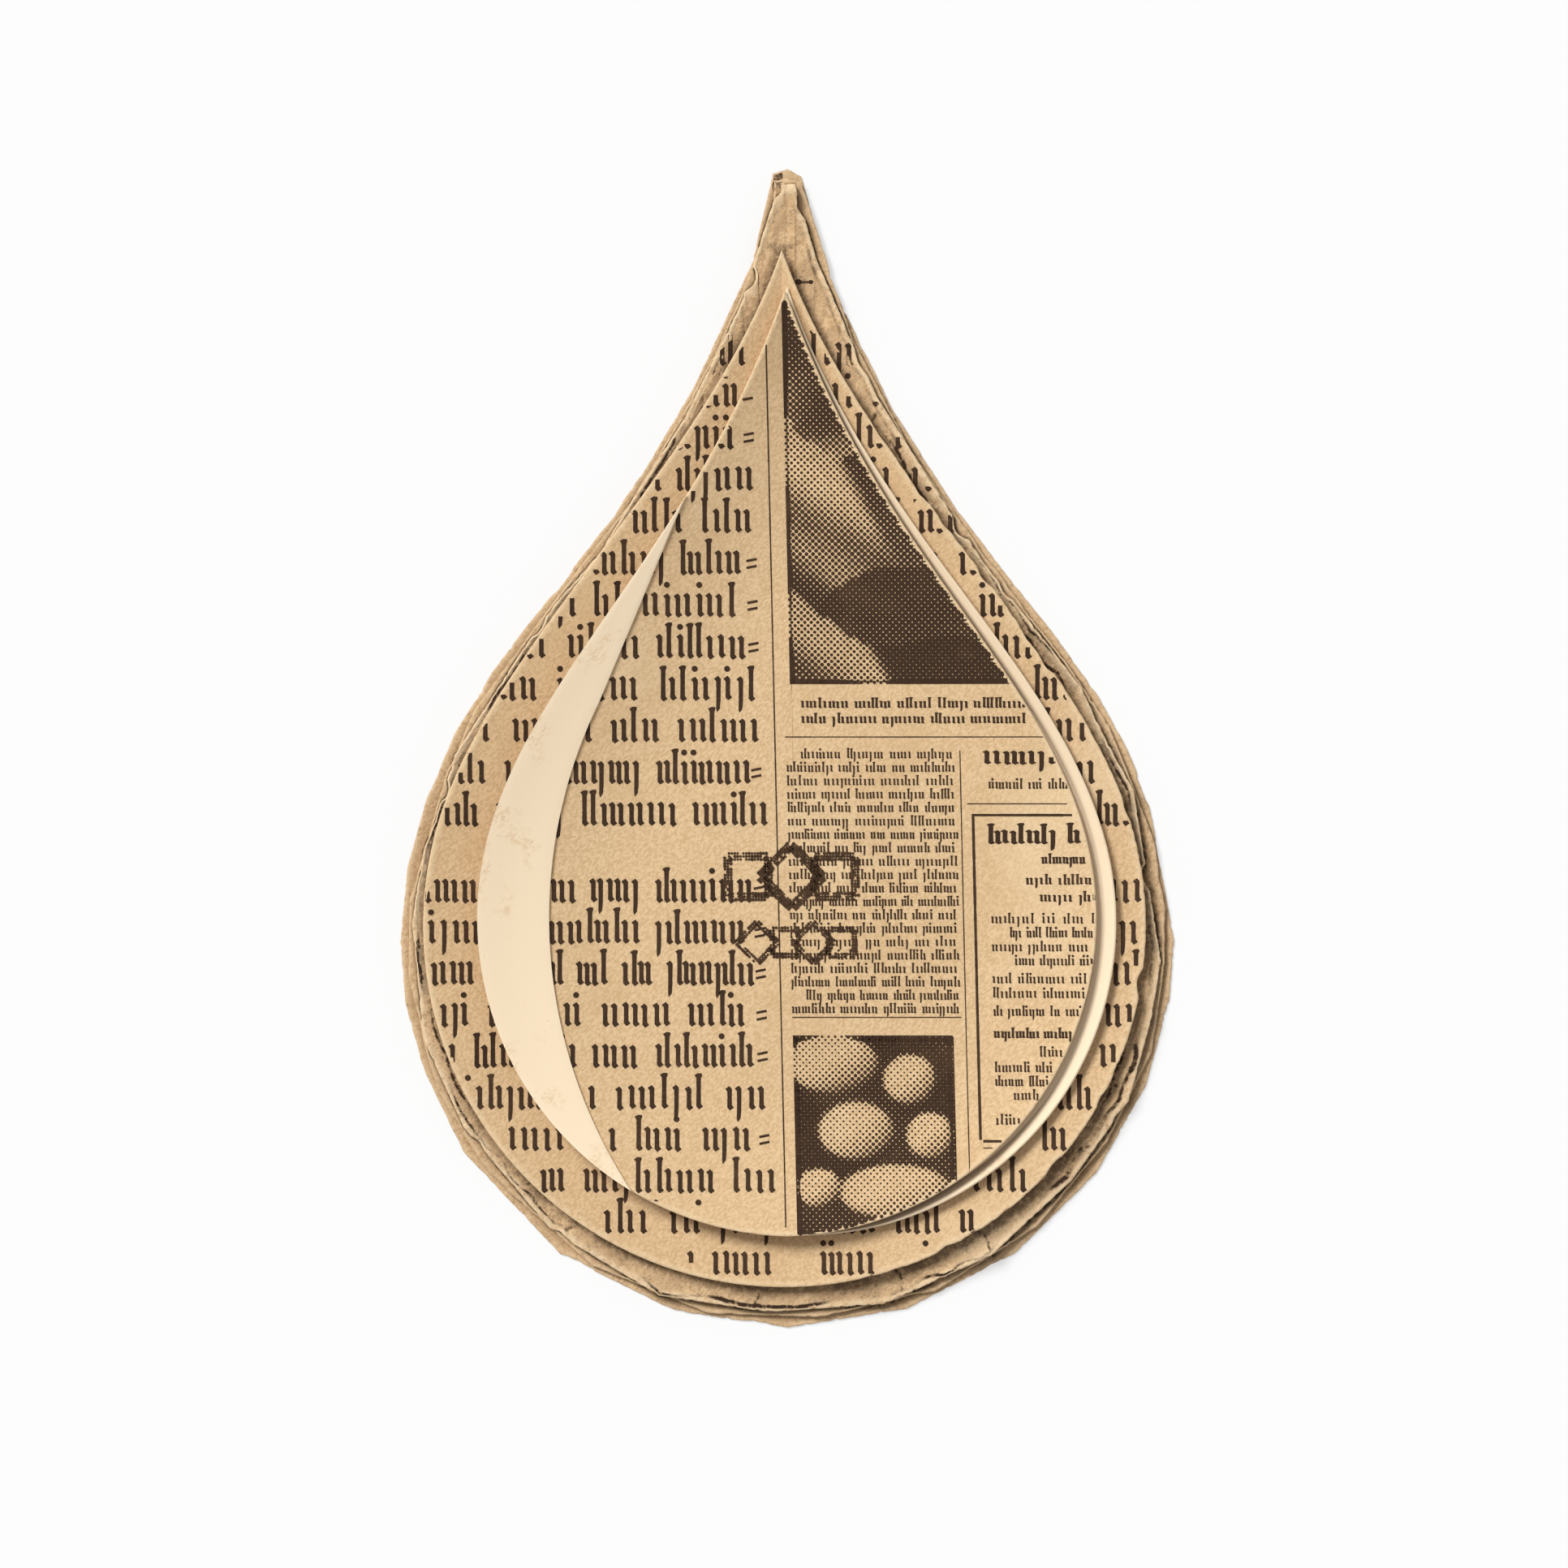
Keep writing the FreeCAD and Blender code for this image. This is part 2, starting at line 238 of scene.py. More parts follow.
class RimTable:
    """Measures how places lie against a leaf's rim."""

    def __init__(self, heart: Array, rim: Array) -> None:
        """Keeps the rim as it is and in polar form.

        Args:
            heart: The leaf's heart, x and y.
            rim: Its clockwise outline, as rows of x and y.
        """
        arms = rim - heart
        angles = np.arctan2(arms[:, 1], arms[:, 0])
        order = np.argsort(angles)
        self.heart = heart
        self.rim = rim
        self.sides = outward_sides(rim)
        self.angles = angles[order]
        self.reach = np.linalg.norm(arms, axis=1)[order]

    def ratio(self, x: Array, y: Array) -> Array:
        """Shares of the way out from the heart, above 1 past the rim.

        Args:
            x: Places across.
            y: Places along.

        Returns:
            One share for each place.
        """
        across = np.asarray(x) - self.heart[0]
        along = np.asarray(y) - self.heart[1]
        angle = np.arctan2(along, across)
        reach = np.interp(angle, self.angles, self.reach, period=2 * math.pi)
        return np.hypot(across, along) / reach

    def beyond(self, x: Array, y: Array) -> Array:
        """How far past the rim places lie, square to it, below 0 inside.

        Args:
            x: Places across.
            y: Places along.

        Returns:
            Distances in millimetres.
        """
        places = np.stack([np.ravel(x), np.ravel(y)], axis=-1)
        distance = np.empty(len(places))
        batch = 4000
        for start in range(0, len(places), batch):
            part = places[start : start + batch]
            gaps = part[:, None] - self.rim[None]
            nearest = np.argmin((gaps**2).sum(axis=2), axis=1)
            arms = part - self.rim[nearest]
            distance[start : start + batch] = (arms * self.sides[nearest]).sum(axis=1)
        return distance.reshape(np.shape(x))


# Meshes


@dataclass
class Patchwork:
    """A mesh put together from grids of points, which are welded where they meet."""

    points: list[Array] = field(default_factory=list)
    faces: list[Array] = field(default_factory=list)
    marks: dict[str, list[Array]] = field(default_factory=dict)
    count: int = 0

    def add_grid(self, grid: Array, closed: bool, **marks: Array) -> None:
        """Adds a grid of quads.

        Args:
            grid: Points, rows by columns by x, y and z, in millimetres.
            closed: Whether each row's last point joins its first.
            **marks: A value for each point, under the name of an attribute.
        """
        rows, columns = grid.shape[:2]
        index = np.arange(rows * columns).reshape(rows, columns) + self.count
        after = np.roll(index, -1, axis=1) if closed else index[:, 1:]
        before = index if closed else index[:, :-1]
        quads = np.stack([before[:-1], after[:-1], after[1:], before[1:]], axis=-1)
        self.points.append(grid.reshape(-1, 3))
        self.faces.append(quads.reshape(-1, 4))
        for name, values in marks.items():
            flat = np.broadcast_to(values, (rows, columns)).ravel()
            self.marks.setdefault(name, []).append(flat)
        self.count += rows * columns

    def build(self, name: str, sharp_degrees: float = 40.0) -> bpy.types.Object:
        """Welds the grids into one closed mesh.

        Args:
            name: The new object's name.
            sharp_degrees: Edges that turn by more than this stay sharp.

        Returns:
            The object, linked to the scene.
        """
        points = np.concatenate(self.points) * MM
        weld_size = 1e-6
        keys = np.round(points / weld_size).astype(np.int64)
        _, first, place = np.unique(keys, axis=0, return_index=True, return_inverse=True)
        place = place.ravel()
        quads = place[np.concatenate(self.faces)]
        polygons = []
        for quad in quads.tolist():
            corners = list(dict.fromkeys(quad))
            if len(corners) > 2:
                polygons.append(corners)
        mesh = bpy.data.meshes.new(name)
        mesh.from_pydata(points[first].tolist(), [], polygons)
        for mark, parts in self.marks.items():
            layer = mesh.attributes.new(mark, "FLOAT", "POINT")
            layer.data.foreach_set("value", np.concatenate(parts)[first].astype(np.float32))
        face_outwards(mesh)
        mesh.shade_smooth()
        mesh.set_sharp_from_angle(angle=math.radians(sharp_degrees))
        piece = bpy.data.objects.new(name, mesh)
        bpy.context.scene.collection.objects.link(piece)
        return piece


def face_outwards(mesh: bpy.types.Mesh) -> None:
    """Closes what is open and turns every face of a mesh outwards.

    Args:
        mesh: The mesh, which is changed.
    """
    work = bmesh.new()
    work.from_mesh(mesh)
    open_edges = [edge for edge in work.edges if edge.is_boundary]
    if open_edges:
        bmesh.ops.holes_fill(work, edges=open_edges, sides=0)
    bmesh.ops.recalc_face_normals(work, faces=work.faces)
    work.to_mesh(mesh)
    work.free()


def outward_sides(rim: Array) -> Array:
    """The outward direction at each point of a clockwise outline.

    Args:
        rim: The outline, as rows of x and y.

    Returns:
        Unit vectors, as rows of x and y.
    """
    along = np.roll(rim, -1, axis=0) - np.roll(rim, 1, axis=0)
    sides = np.stack([-along[:, 1], along[:, 0]], axis=-1)
    return sides / np.linalg.norm(sides, axis=1, keepdims=True)


# Leaves


@dataclass
class Leaf:
    """A sheet of newsprint with a flat middle and a rim that curls up."""

    node: str
    slot: str
    drop: Drop
    curl: Curl
    rings: int = 40
    inner_ratio: float = 0.04
    shown_from: float = 0.5
    edge_width: float = 0.42
    burr: float = 0.1
    burr_width: float = 0.7
    dents: float = 0.12
    dent_wavelength: float = 26.0
    seed: int = 1
    cover: RimTable | None = None

    def rim(self) -> Array:
        """The outline in the hand-cut form that shows, as rows of x and y."""
        return self.drop.rim(flank_steps=150, bulb_steps=330)

    def table(self) -> RimTable:
        """Measures places against this leaf's rim."""
        return RimTable(self.heart(), self.rim())

    def heart(self) -> Array:
        """The middle of the bulb, x and y."""
        return np.array([self.drop.heart_x, self.drop.heart_y])

    def curl_share(self, x: Array, y: Array, ratio: Array) -> Array:
        """Shares of the way to the line at which the curl ends: here, the rim."""
        return ratio

    def rise(self, x: Array, y: Array, ratio: Array) -> Array:
        """How much the paper stands above the plain curl.

        Args:
            x: Places across.
            y: Places along.
            ratio: Shares of the way to the rim.

        Returns:
            Heights in millimetres.
        """
        swell = ripples(x, y, self.dent_wavelength, self.seed)
        return self.dents * self.curl.step(ratio) * swell

    def cracks(self, x: Array, y: Array) -> Array:
        """How much painted shade the folds in the paper get, from 0 to 1: here, there are none.
        """
        return np.zeros_like(x)

    def top(self, x: Array, y: Array, ratio: Array) -> Array:
        """The height of the printed face.

        Args:
            x: Places across.
            y: Places along.
            ratio: Shares of the way to the rim.

        Returns:
            Heights in millimetres.
        """
        from_rim = (1 - ratio) * self.drop.radius
        burr = self.burr * np.exp(-((from_rim / self.burr_width) ** 2))
        height = self.curl.height(self.curl_share(x, y, ratio)) + self.curl.thickness
        return height + self.rise(x, y, ratio) + burr

    def face(self, rim: Array, ratios: Array, below: float) -> tuple[Array, Array]:
        """A grid over the leaf.

        Args:
            rim: The outline.
            ratios: Shares of the way to the rim, one for each row.
            below: How far under the printed face the grid lies.

        Returns:
            The grid of points, and each point's share.
        """
        arms = rim - self.heart()
        flat = self.heart() + arms[None] * ratios[:, None, None]
        share = np.broadcast_to(ratios[:, None], flat.shape[:2])
        height = np.maximum(self.top(flat[..., 0], flat[..., 1], share) - below, 0.0)
        return np.concatenate([flat, height[..., None]], axis=-1), share

    def edge(self, upper: Array, lower: Array, sides: Array, turns: int = 5) -> Array:
        """A worn, rounded edge between the last rows of the two faces.

        Args:
            upper: The printed face's last row.
            lower: The underside's last row.
            sides: The outward direction at each point.
            turns: Rows of the rounding.

        Returns:
            A grid from the upper row to the lower one.
        """
        middle = (upper + lower) / 2
        half = (upper - lower) / 2
        bulge = np.concatenate([sides, np.zeros((len(sides), 1))], axis=1) * self.edge_width
        rows = []
        for turn in range(turns + 1):
            angle = math.pi * turn / turns
            rows.append(middle + half * math.cos(angle) + bulge * math.sin(angle))
        return np.stack(rows)

    def ratios(self) -> Array:
        """The rows of the printed face, even and close together where it shows."""
        hidden = np.linspace(self.inner_ratio, self.shown_from, max(4, self.rings // 5))
        shown = np.linspace(self.shown_from, 1, self.rings)[1:]
        return np.concatenate([hidden, shown])

    def shade(self, grid: Array) -> Array:
        """How far each point lies from the leaf above, shortened at the lower right, away from
        the key light, so that the painted shade beside that leaf reaches further there.

        Args:
            grid: The points.

        Returns:
            Distances in millimetres, or far ones where no leaf lies above.
        """
        if self.cover is None:
            return np.full(grid.shape[:2], FAR)
        arms = grid[..., :2] - self.heart()
        outwards = arms / np.linalg.norm(arms, axis=-1, keepdims=True)
        # Painted shade: the lower right faces away from the key light, so the shade beside the
        # leaf above is drawn wider there.
        away_from_light_side = np.array([0.88, -0.47])
        away_from_light = smooth_step(-0.6, 0.9, outwards @ away_from_light_side)
        least, more = 0.4, 0.8
        return self.cover.beyond(grid[..., 0], grid[..., 1]) / (least + more * away_from_light)

    def mesh(self) -> bpy.types.Object:
        """Builds the leaf.

        Returns:
            The leaf's object.
        """
        rim = self.rim()
        sides = outward_sides(rim)
        inset = rim - sides * self.edge_width
        upper, share = self.face(inset, self.ratios(), 0.0)
        under_rows = np.array([self.inner_ratio, self.curl.flat_share, 0.62, 0.75, 0.88, 1.0])
        lower, under_share = self.face(inset, under_rows, self.curl.thickness)
        cracks = self.cracks(upper[..., 0], upper[..., 1])
        work = Patchwork()
        work.add_grid(upper, closed=True, rim=share, cover=self.shade(upper), crack=cracks)
        edge = self.edge(upper[-1], lower[-1], sides)
        work.add_grid(edge, closed=True, rim=1.0, cover=FAR, crack=0.0)
        work.add_grid(lower, closed=True, rim=under_share, cover=FAR, crack=0.0)
        return work.build(f"{self.node}_sheet")

    def make(self, finish: bpy.types.Material) -> bpy.types.Object:
        """Builds and dresses the leaf, in place of its CAD node.

        Args:
            finish: Its material.

        Returns:
            The finished piece.
        """
        piece = self.mesh()
        piece.data.materials.append(finish)
        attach(piece, "root")
        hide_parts(self.node)
        LOG.info("%s: %d faces", piece.name, len(piece.data.polygons))
        return piece


@dataclass
class TornLeaf(Leaf):
    """A smooth leaf whose right side is a little torn."""

    tear: float = 0.9
    tear_wavelength: float = 9.0

    def rim(self) -> Array:
        """The outline, drawn in where it is torn."""
        rim = super().rim()
        sides = outward_sides(rim)
        right = smooth_step(0.1, 0.5, (rim[:, 0] - self.drop.heart_x) / self.drop.radius)
        coarse = np.clip(ripples(rim[:, 0], rim[:, 1], self.tear_wavelength, 31), 0, 1)
        fine = np.clip(ripples(rim[:, 0], rim[:, 1], self.tear_wavelength / 5, 32), 0, 1)
        depth = self.tear * (right * coarse + 0.12 * fine * (0.3 + right))
        return rim - sides * depth[:, None]


@dataclass
class RimLeaf(Leaf):
    """The blank leaf whose free right edge shows past the trimmed front leaf."""

    edge_lift: float = 0.85
    edge_lift_width: float = 4.2

    def rise(self, x: Array, y: Array, ratio: Array) -> Array:
        """Soft swells, and the right edge, which has lifted a little."""
        right = smooth_step(-0.1, 0.3, (x - self.drop.heart_x) / self.drop.radius)
        from_rim = (1 - ratio) * self.drop.radius
        share = np.clip(1 - from_rim / self.edge_lift_width, 0, 1)
        return super().rise(x, y, ratio) + self.edge_lift * right * share**2


@dataclass(frozen=True)
class Fold:
    """A doubled ridge beside a crumpled rim, with painted shade along its outer side, where the
    crack lies.

    Lengths are in millimetres. The two ends are directions from the leaf's heart, in
    degrees from +X.
    """

    inset: float
    start: float
    end: float
    height: float
    wander: float = 0.7
    back_slope: float = 0.8
    crack_width: float = 0.34

    def presence(self, direction: Array) -> Array:
        """1 along the fold, and 0 past its ends."""
        middle = (self.start + self.end) / 2
        half = (self.end - self.start) / 2
        off = np.mod(direction - middle + 180, 360) - 180
        return 1 - smooth_step(half * 0.55, half, np.abs(off))

    def crest(self, x: Array, y: Array) -> Array:
        """How far inside the rim the ridge's crest runs."""
        wavelength, seed = 13.0, round(10 * self.inset) + 3
        return self.inset + self.wander * ripples(x, y, wavelength, seed, waves=5)

    def ridge(self, x: Array, y: Array, inside: Array, direction: Array) -> Array:
        """The fold's height.

        Args:
            x: Places across.
            y: Places along.
            inside: How far inside the rim they lie.
            direction: Their directions from the heart, in degrees.

        Returns:
            Heights in millimetres.
        """
        off = inside - self.crest(x, y)
        inner = np.exp(-np.clip(off, 0, None) / self.back_slope)
        outer = np.clip(1 + off / (0.6 * self.crack_width), 0, 1)
        swell = 0.4 + 0.6 * smooth_step(-0.6, 0.5, ripples(x, y, 9.0, 83, waves=5))
        return self.height * swell * self.presence(direction) * np.where(off > 0, inner, outer)

    def crack(self, x: Array, y: Array, inside: Array, direction: Array) -> Array:
        """How much painted shade the crack gets, from 0 to 1, at the same places."""
        off = inside - self.crest(x, y) + self.crack_width
        open_share = 0.35 + 0.65 * smooth_step(-0.2, 0.5, ripples(x, y, 17.0, 71, waves=5))
        dark = np.exp(-((off / self.crack_width) ** 2))
        return dark * self.presence(direction) * open_share


@dataclass(frozen=True)
class Crease:
    """A short sharp crease that runs in from a crumpled rim.

    Its direction from the leaf's heart is in degrees from +X. Lengths are in millimetres.
    """

    direction: float
    outer_inset: float
    inner_inset: float
    depth: float = 0.3
    width: float = 0.42

    def line(self, inside: Array, direction: Array, reach: Array) -> Array:
        """How much of the crease a place has.

        Args:
            inside: How far inside the rim the places lie.
            direction: Their directions from the heart, in degrees.
            reach: Their distances from the heart.

        Returns:
            1 on the crease, and 0 away from it.
        """
        off = reach * np.radians(np.mod(direction - self.direction + 180, 360) - 180)
        off = off + 0.35 * np.sin(1.3 * inside)
        ends = smooth_step(self.outer_inset - 0.4, self.outer_inset + 0.4, inside)
        ends = ends * (1 - smooth_step(self.inner_inset - 1.2, self.inner_inset, inside))
        return ends * np.exp(-((off / self.width) ** 2))


@dataclass
class CrumpledLeaf(Leaf):
    """A leaf with straight runs between creases and a rim that waves up and down."""

    turn: float = 0.0
    wander: float = 0.8
    phase: int = 0
    pleat: float = 0.35
    fray: float = 0.22
    bite: float = 0.5
    crease_depth: float = 0.3
    tip_width: float = 6.4
    spacing: float = 0.85
    folds: tuple[Fold, ...] = ()
    creases: tuple[Crease, ...] = ()
    bulb_creases: tuple[float, ...] = (
        0, -9, -22, -37, -54, -72, -90, -107, -126, -147, -162, -171, -180, -191,
    )
    right_creases: tuple[float, ...] = (0.05, 0.14, 0.24, 0.37, 0.5, 0.62, 0.76, 0.9)
    left_creases: tuple[float, ...] = (0.06, 0.17, 0.29, 0.38, 0.48, 0.58, 0.68, 0.79, 0.92)

    def corners(self) -> Array:
        """The crease ends, clockwise from the right of the bulb, as in the CAD leaf."""
        flank_turn = self.turn / 100
        bulb = self.drop.bulb(np.array(self.bulb_creases) + self.turn)
        left = self.drop.flank(-1, np.array(self.left_creases) + flank_turn)
        right = self.drop.flank(1, np.array(self.right_creases[::-1]) - flank_turn)
        tip = self.heart() + np.array([self.drop.lean, self.drop.rise])
        blunt = self.tip_width / 2
        end = tip + np.array([[-blunt, -blunt / 3], [0, 0], [blunt, -blunt / 2]])
        corners = np.concatenate([bulb, left, end, right])
        inwards = self.heart() - corners
        inwards = inwards / np.linalg.norm(inwards, axis=1, keepdims=True)
        draw = self.wander * (1 + self.wave(np.arange(len(corners)))) / 2
        return corners + inwards * draw[:, None]

    def wave(self, index: Array) -> Array:
        """The uneven wave over the creases, between -1 and 1."""
        golden_turn = 2.4
        return np.sin(golden_turn * index)

    def stations(self) -> tuple[Array, Array]:
        """The creases and the points between them.

        Returns:
            Each point's place on the outline, and its place in the row of creases.
        """
        corners = self.corners()
        following = np.roll(corners, -1, axis=0)
        places = []
        numbers = []
        for number, (start, end) in enumerate(zip(corners, following)):
            steps = max(2, round(float(np.linalg.norm(end - start)) / self.spacing))
            shares = np.arange(steps) / steps
            places.append(start + (end - start) * shares[:, None])
            numbers.append(number + shares)
        return np.concatenate(places), np.concatenate(numbers)

    def rim(self) -> Array:
        """The creased outline with a frayed edge."""
        rim, _ = self.stations()
        sides = outward_sides(rim)
        fray = np.clip(ripples(rim[:, 0], rim[:, 1], 2.2, self.seed + 50) - 0.1, 0, 1.2)
        bites = np.clip(ripples(rim[:, 0], rim[:, 1], 14.0, self.seed + 51) - 0.5, 0, 1)
        return rim - sides * (self.fray * fray + self.bite * bites)[:, None]

    def against_rim(self, x: Array, y: Array) -> tuple[Array, Array, Array]:
        """How places lie on the leaf.

        Args:
            x: Places across.
            y: Places along.

        Returns:
            How far inside the rim they lie, their directions from the heart in degrees
            from +X, and their distances from it.
        """
        across, along = x - self.drop.heart_x, y - self.drop.heart_y
        direction = np.degrees(np.arctan2(along, across))
        return -self.table().beyond(x, y), direction, np.hypot(across, along)

    def rise(self, x: Array, y: Array, ratio: Array) -> Array:
        """The pleats, the creases between them, the folds and small crumples."""
        number = self.station_number(x, y)
        lower = np.floor(number)
        share = number - lower
        total = len(self.corners())
        here = self.wave(lower % total + self.phase)
        there = self.wave((lower + 1) % total + self.phase)
        pleat = self.pleat * (here * (1 - share) + there * share)
        step = self.curl.step(ratio)
        near_start, near_end = share / 0.045, (1 - share) / 0.045
        groove = here * np.exp(-(near_start**2)) + there * np.exp(-(near_end**2))
        ridges = 1 - np.abs(ripples(x, y, 9.0, self.seed + 5)) * 1.6
        fine = 0.5 - np.abs(ripples(x, y, 3.0, self.seed + 9))
        crumple = self.crease_depth * (0.7 * groove + 0.4 * ridges + 0.35 * fine)
        height = self.curl.lift * pleat * step**2 + crumple * np.clip(step, 0, 1)
        if self.folds:
            inside, direction, reach = self.against_rim(x, y)
            for fold in self.folds:
                height = height + fold.ridge(x, y, inside, direction)
            for crease in self.creases:
                height = height - crease.depth * crease.line(inside, direction, reach)
        return height

    def cracks(self, x: Array, y: Array) -> Array:
        """The painted shade in the folds' cracks and along the creases, from 0 to 1."""
        dark = np.zeros_like(x)
        if self.folds:
            inside, direction, reach = self.against_rim(x, y)
            for fold in self.folds:
                dark = np.maximum(dark, fold.crack(x, y, inside, direction))
            for crease in self.creases:
                dark = np.maximum(dark, 0.6 * crease.line(inside, direction, reach))
        return dark

    def station_number(self, x: Array, y: Array) -> Array:
        """Which crease a place belongs to, by its direction from the heart.

        Args:
            x: Places across.
            y: Places along.

        Returns:
            Numbers that grow by 1 from each crease to the next.
        """
        rim, numbers = self.stations()
        arms = rim - self.heart()
        angles = np.unwrap(-np.arctan2(arms[:, 1], arms[:, 0]))
        angle = -np.arctan2(y - self.drop.heart_y, x - self.drop.heart_x)
        start = angles[0]
        angle = start + np.mod(angle - start, 2 * math.pi)
        grown = np.concatenate([angles, [start + 2 * math.pi]])
        return np.interp(angle, grown, np.concatenate([numbers, [len(self.corners())]]))


@dataclass
class FrontLeaf(Leaf):
    """The top leaf, whose right side is trimmed to show the rim leaf."""

    trim_width: float = 3.9
    trim_tip_width: float = 0.4

    def whole(self) -> Array:
        """The outline before it was trimmed, as rows of x and y."""
        return self.drop.rim(flank_steps=190, bulb_steps=380)

    def rim(self) -> Array:
        """The outline, cut back to the same drop moved to the left."""
        whole = self.whole()
        cut = self.drop.moved(-self.trim_width, -self.trim_tip_width)
        blade = RimTable(self.heart(), cut.rim(flank_steps=190, bulb_steps=380))
        over = np.maximum(blade.ratio(whole[:, 0], whole[:, 1]), 1)
        return self.heart() + (whole - self.heart()) / over[:, None]

    def curl_share(self, x: Array, y: Array, ratio: Array) -> Array:
        """Shares of the way to the outline before it was trimmed."""
        return RimTable(self.heart(), self.whole()).ratio(x, y)

    def rise(self, x: Array, y: Array, ratio: Array) -> Array:
        """Soft swells all over, which only ever lift the paper."""
        swell = ripples(x, y, self.dent_wavelength, self.seed)
        return self.dents * (1 + swell) * (0.4 + 0.6 * np.clip(self.curl.step(ratio), 0, 1))


@dataclass
class Crescent:
    """A blank crescent of smooth paper on the front leaf's left edge."""

    carrier: FrontLeaf
    thickness: float = 0.6
    gap: float = 0.1
    width: float = 15.8
    arc_radius: float = 108.5
    foot_drop: float = 62.0
    tip_rise: float = 93.4
    rows: int = 220
    columns: int = 22

    def inner_edge(self, y: Array) -> Array:
        """The x of the crescent's inner edge.

        Args:
            y: Places along.

        Returns:
            One x for each place.
        """
        drop = self.carrier.drop
        centre = drop.heart_x - drop.radius + self.width + self.arc_radius
        return centre - np.sqrt(self.arc_radius**2 - (y - drop.heart_y) ** 2)

    def span(self) -> tuple[Array, Array, Array]:
        """The crescent's two edges.

        Returns:
            The rows' y, the left edge's x and the right edge's x.
        """
        rim = self.carrier.drop.rim(flank_steps=400, bulb_steps=900)
        left = rim[rim[:, 0] < self.carrier.drop.heart_x]
        left = left[np.argsort(left[:, 1])]
        arc_top = self.arc_radius * math.sin(math.radians(26))
        share = np.linspace(0, 1, self.rows)
        low = self.carrier.drop.heart_y - self.foot_drop
        high = self.carrier.drop.heart_y + self.tip_rise
        y = low + (high - low) * (0.5 - 0.5 * np.cos(np.pi * share))
        outer = np.interp(y, left[:, 1], left[:, 0])
        arc_end_y = self.carrier.drop.heart_y + arc_top
        arc_y = np.minimum(y, arc_end_y)
        inner = self.inner_edge(arc_y)
        beyond = np.clip((y - arc_end_y) / (high - arc_end_y), 0, 1)
        tip_x = float(np.interp(high, left[:, 1], left[:, 0]))
        inner = inner + (tip_x - self.inner_edge(np.array(arc_end_y))) * beyond
        return y, outer, np.maximum(inner, outer)

    def covers(self, x: Array, y: Array, margin: float) -> Array:
        """Whether places lie under the crescent.

        Args:
            x: Places across.
            y: Places along.
            margin: How far the crescent is taken to reach past its edges.

        Returns:
            True where it covers.
        """
        rows, outer, inner = self.span()
        left = np.interp(y, rows, outer)
        right = np.interp(y, rows, inner)
        inside = (y > rows[0] - margin) & (y < rows[-1] + margin)
        return inside & (x > left - margin) & (x < right + margin)

    def make(self, finish: bpy.types.Material) -> bpy.types.Object:
        """Builds and dresses the crescent, in place of its CAD node.

        Args:
            finish: Its material.

        Returns:
            The finished piece.
        """
        y, left, right = self.span()
        share = np.linspace(0, 1, self.columns)
        flat_x = left[:, None] + (right - left)[:, None] * share
        flat_y = np.broadcast_to(y[:, None], flat_x.shape)
        ratio = np.minimum(self.carrier.curl_share(flat_x, flat_y, share), 1.0)
        rest = self.carrier.curl.height(ratio) + self.carrier.curl.thickness
        swell = self.carrier.dents * 2 + 0.02
        low = rest + self.gap + swell * 0.5
        cushion = 1 - np.abs(2 * share - 1) ** 6
        high = low + self.thickness - 0.12 + 0.12 * cushion
        top = np.stack([flat_x, flat_y, high], axis=-1)
        under = np.stack([flat_x, flat_y, low], axis=-1)
        work = Patchwork()
        work.add_grid(top, closed=False)
        work.add_grid(under, closed=False)
        for side in (0, -1):
            work.add_grid(np.stack([top[:, side], under[:, side]]), closed=False)
        for end in (0, -1):
            work.add_grid(np.stack([top[end], under[end]]), closed=False)
        piece = work.build("crescent_card")
        piece.data.materials.append(finish)
        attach(piece, "root")
        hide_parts("highlight_crescent")
        LOG.info("%s: %d faces", piece.name, len(piece.data.polygons))
        return piece


# Print


class Mark(IntEnum):
    """The shapes in the type case. None of them is a letter."""

    MINIM = 0
    TALL = 1
    DEEP = 2
    BLOCK = 3
    DOT = 4


# Each shape is a ribbon: rows of height, left edge and right edge. Heights are in
# x-heights, and edges in stroke widths.
RIBBONS: dict[Mark, tuple[tuple[float, float, float], ...]] = {
    Mark.MINIM: (
        (0.0, 0.0, 0.15),
        (0.11, -0.5, 0.95),
        (0.22, -0.5, 0.5),
        (0.5, -0.46, 0.46),
        (0.78, -0.5, 0.5),
        (0.89, -0.95, 0.5),
        (1.0, -0.15, 0.0),
    ),
    Mark.TALL: (
        (0.0, 0.0, 0.15),
        (0.11, -0.5, 0.95),
        (0.22, -0.5, 0.5),
        (0.8, -0.46, 0.46),
        (1.3, -0.5, 0.5),
        (1.42, -0.9, 0.75),
        (1.5, -0.2, 0.6),
    ),
    Mark.DEEP: (
        (-0.5, -0.35, -0.25),
        (-0.36, -0.5, 0.3),
        (0.0, -0.46, 0.46),
        (0.5, -0.46, 0.46),
        (0.78, -0.5, 0.5),
        (0.89, -0.95, 0.5),
        (1.0, -0.15, 0.0),
    ),
    Mark.BLOCK: ((-0.5, -0.5, 0.5), (0.5, -0.5, 0.5)),
    Mark.DOT: (
        (-0.5, -0.2, 0.2),
        (-0.2, -0.5, 0.5),
        (0.2, -0.5, 0.5),
        (0.5, -0.2, 0.2),
    ),
}


@dataclass(frozen=True)
class Hand:
    """How one size of print looks. Lengths are in millimetres."""

    height: float
    stroke: float
    pitch: float
    word_gap: float
    shortest: int
    longest: int
    tall_share: float = 0.17
    deep_share: float = 0.07
    dot_share: float = 0.1


GOTHIC = Hand(5.3, 1.04, 2.4, 3.9, 3, 11)
BODY = Hand(1.55, 0.42, 0.84, 1.2, 4, 13)
BOLD = Hand(1.6, 0.56, 1.1, 1.3, 5, 13, dot_share=0.0)
HEADING = Hand(3.1, 1.1, 1.95, 2.5, 5, 9, dot_share=0.0)
AD_LINE = Hand(1.6, 0.44, 0.92, 1.35, 3, 12)


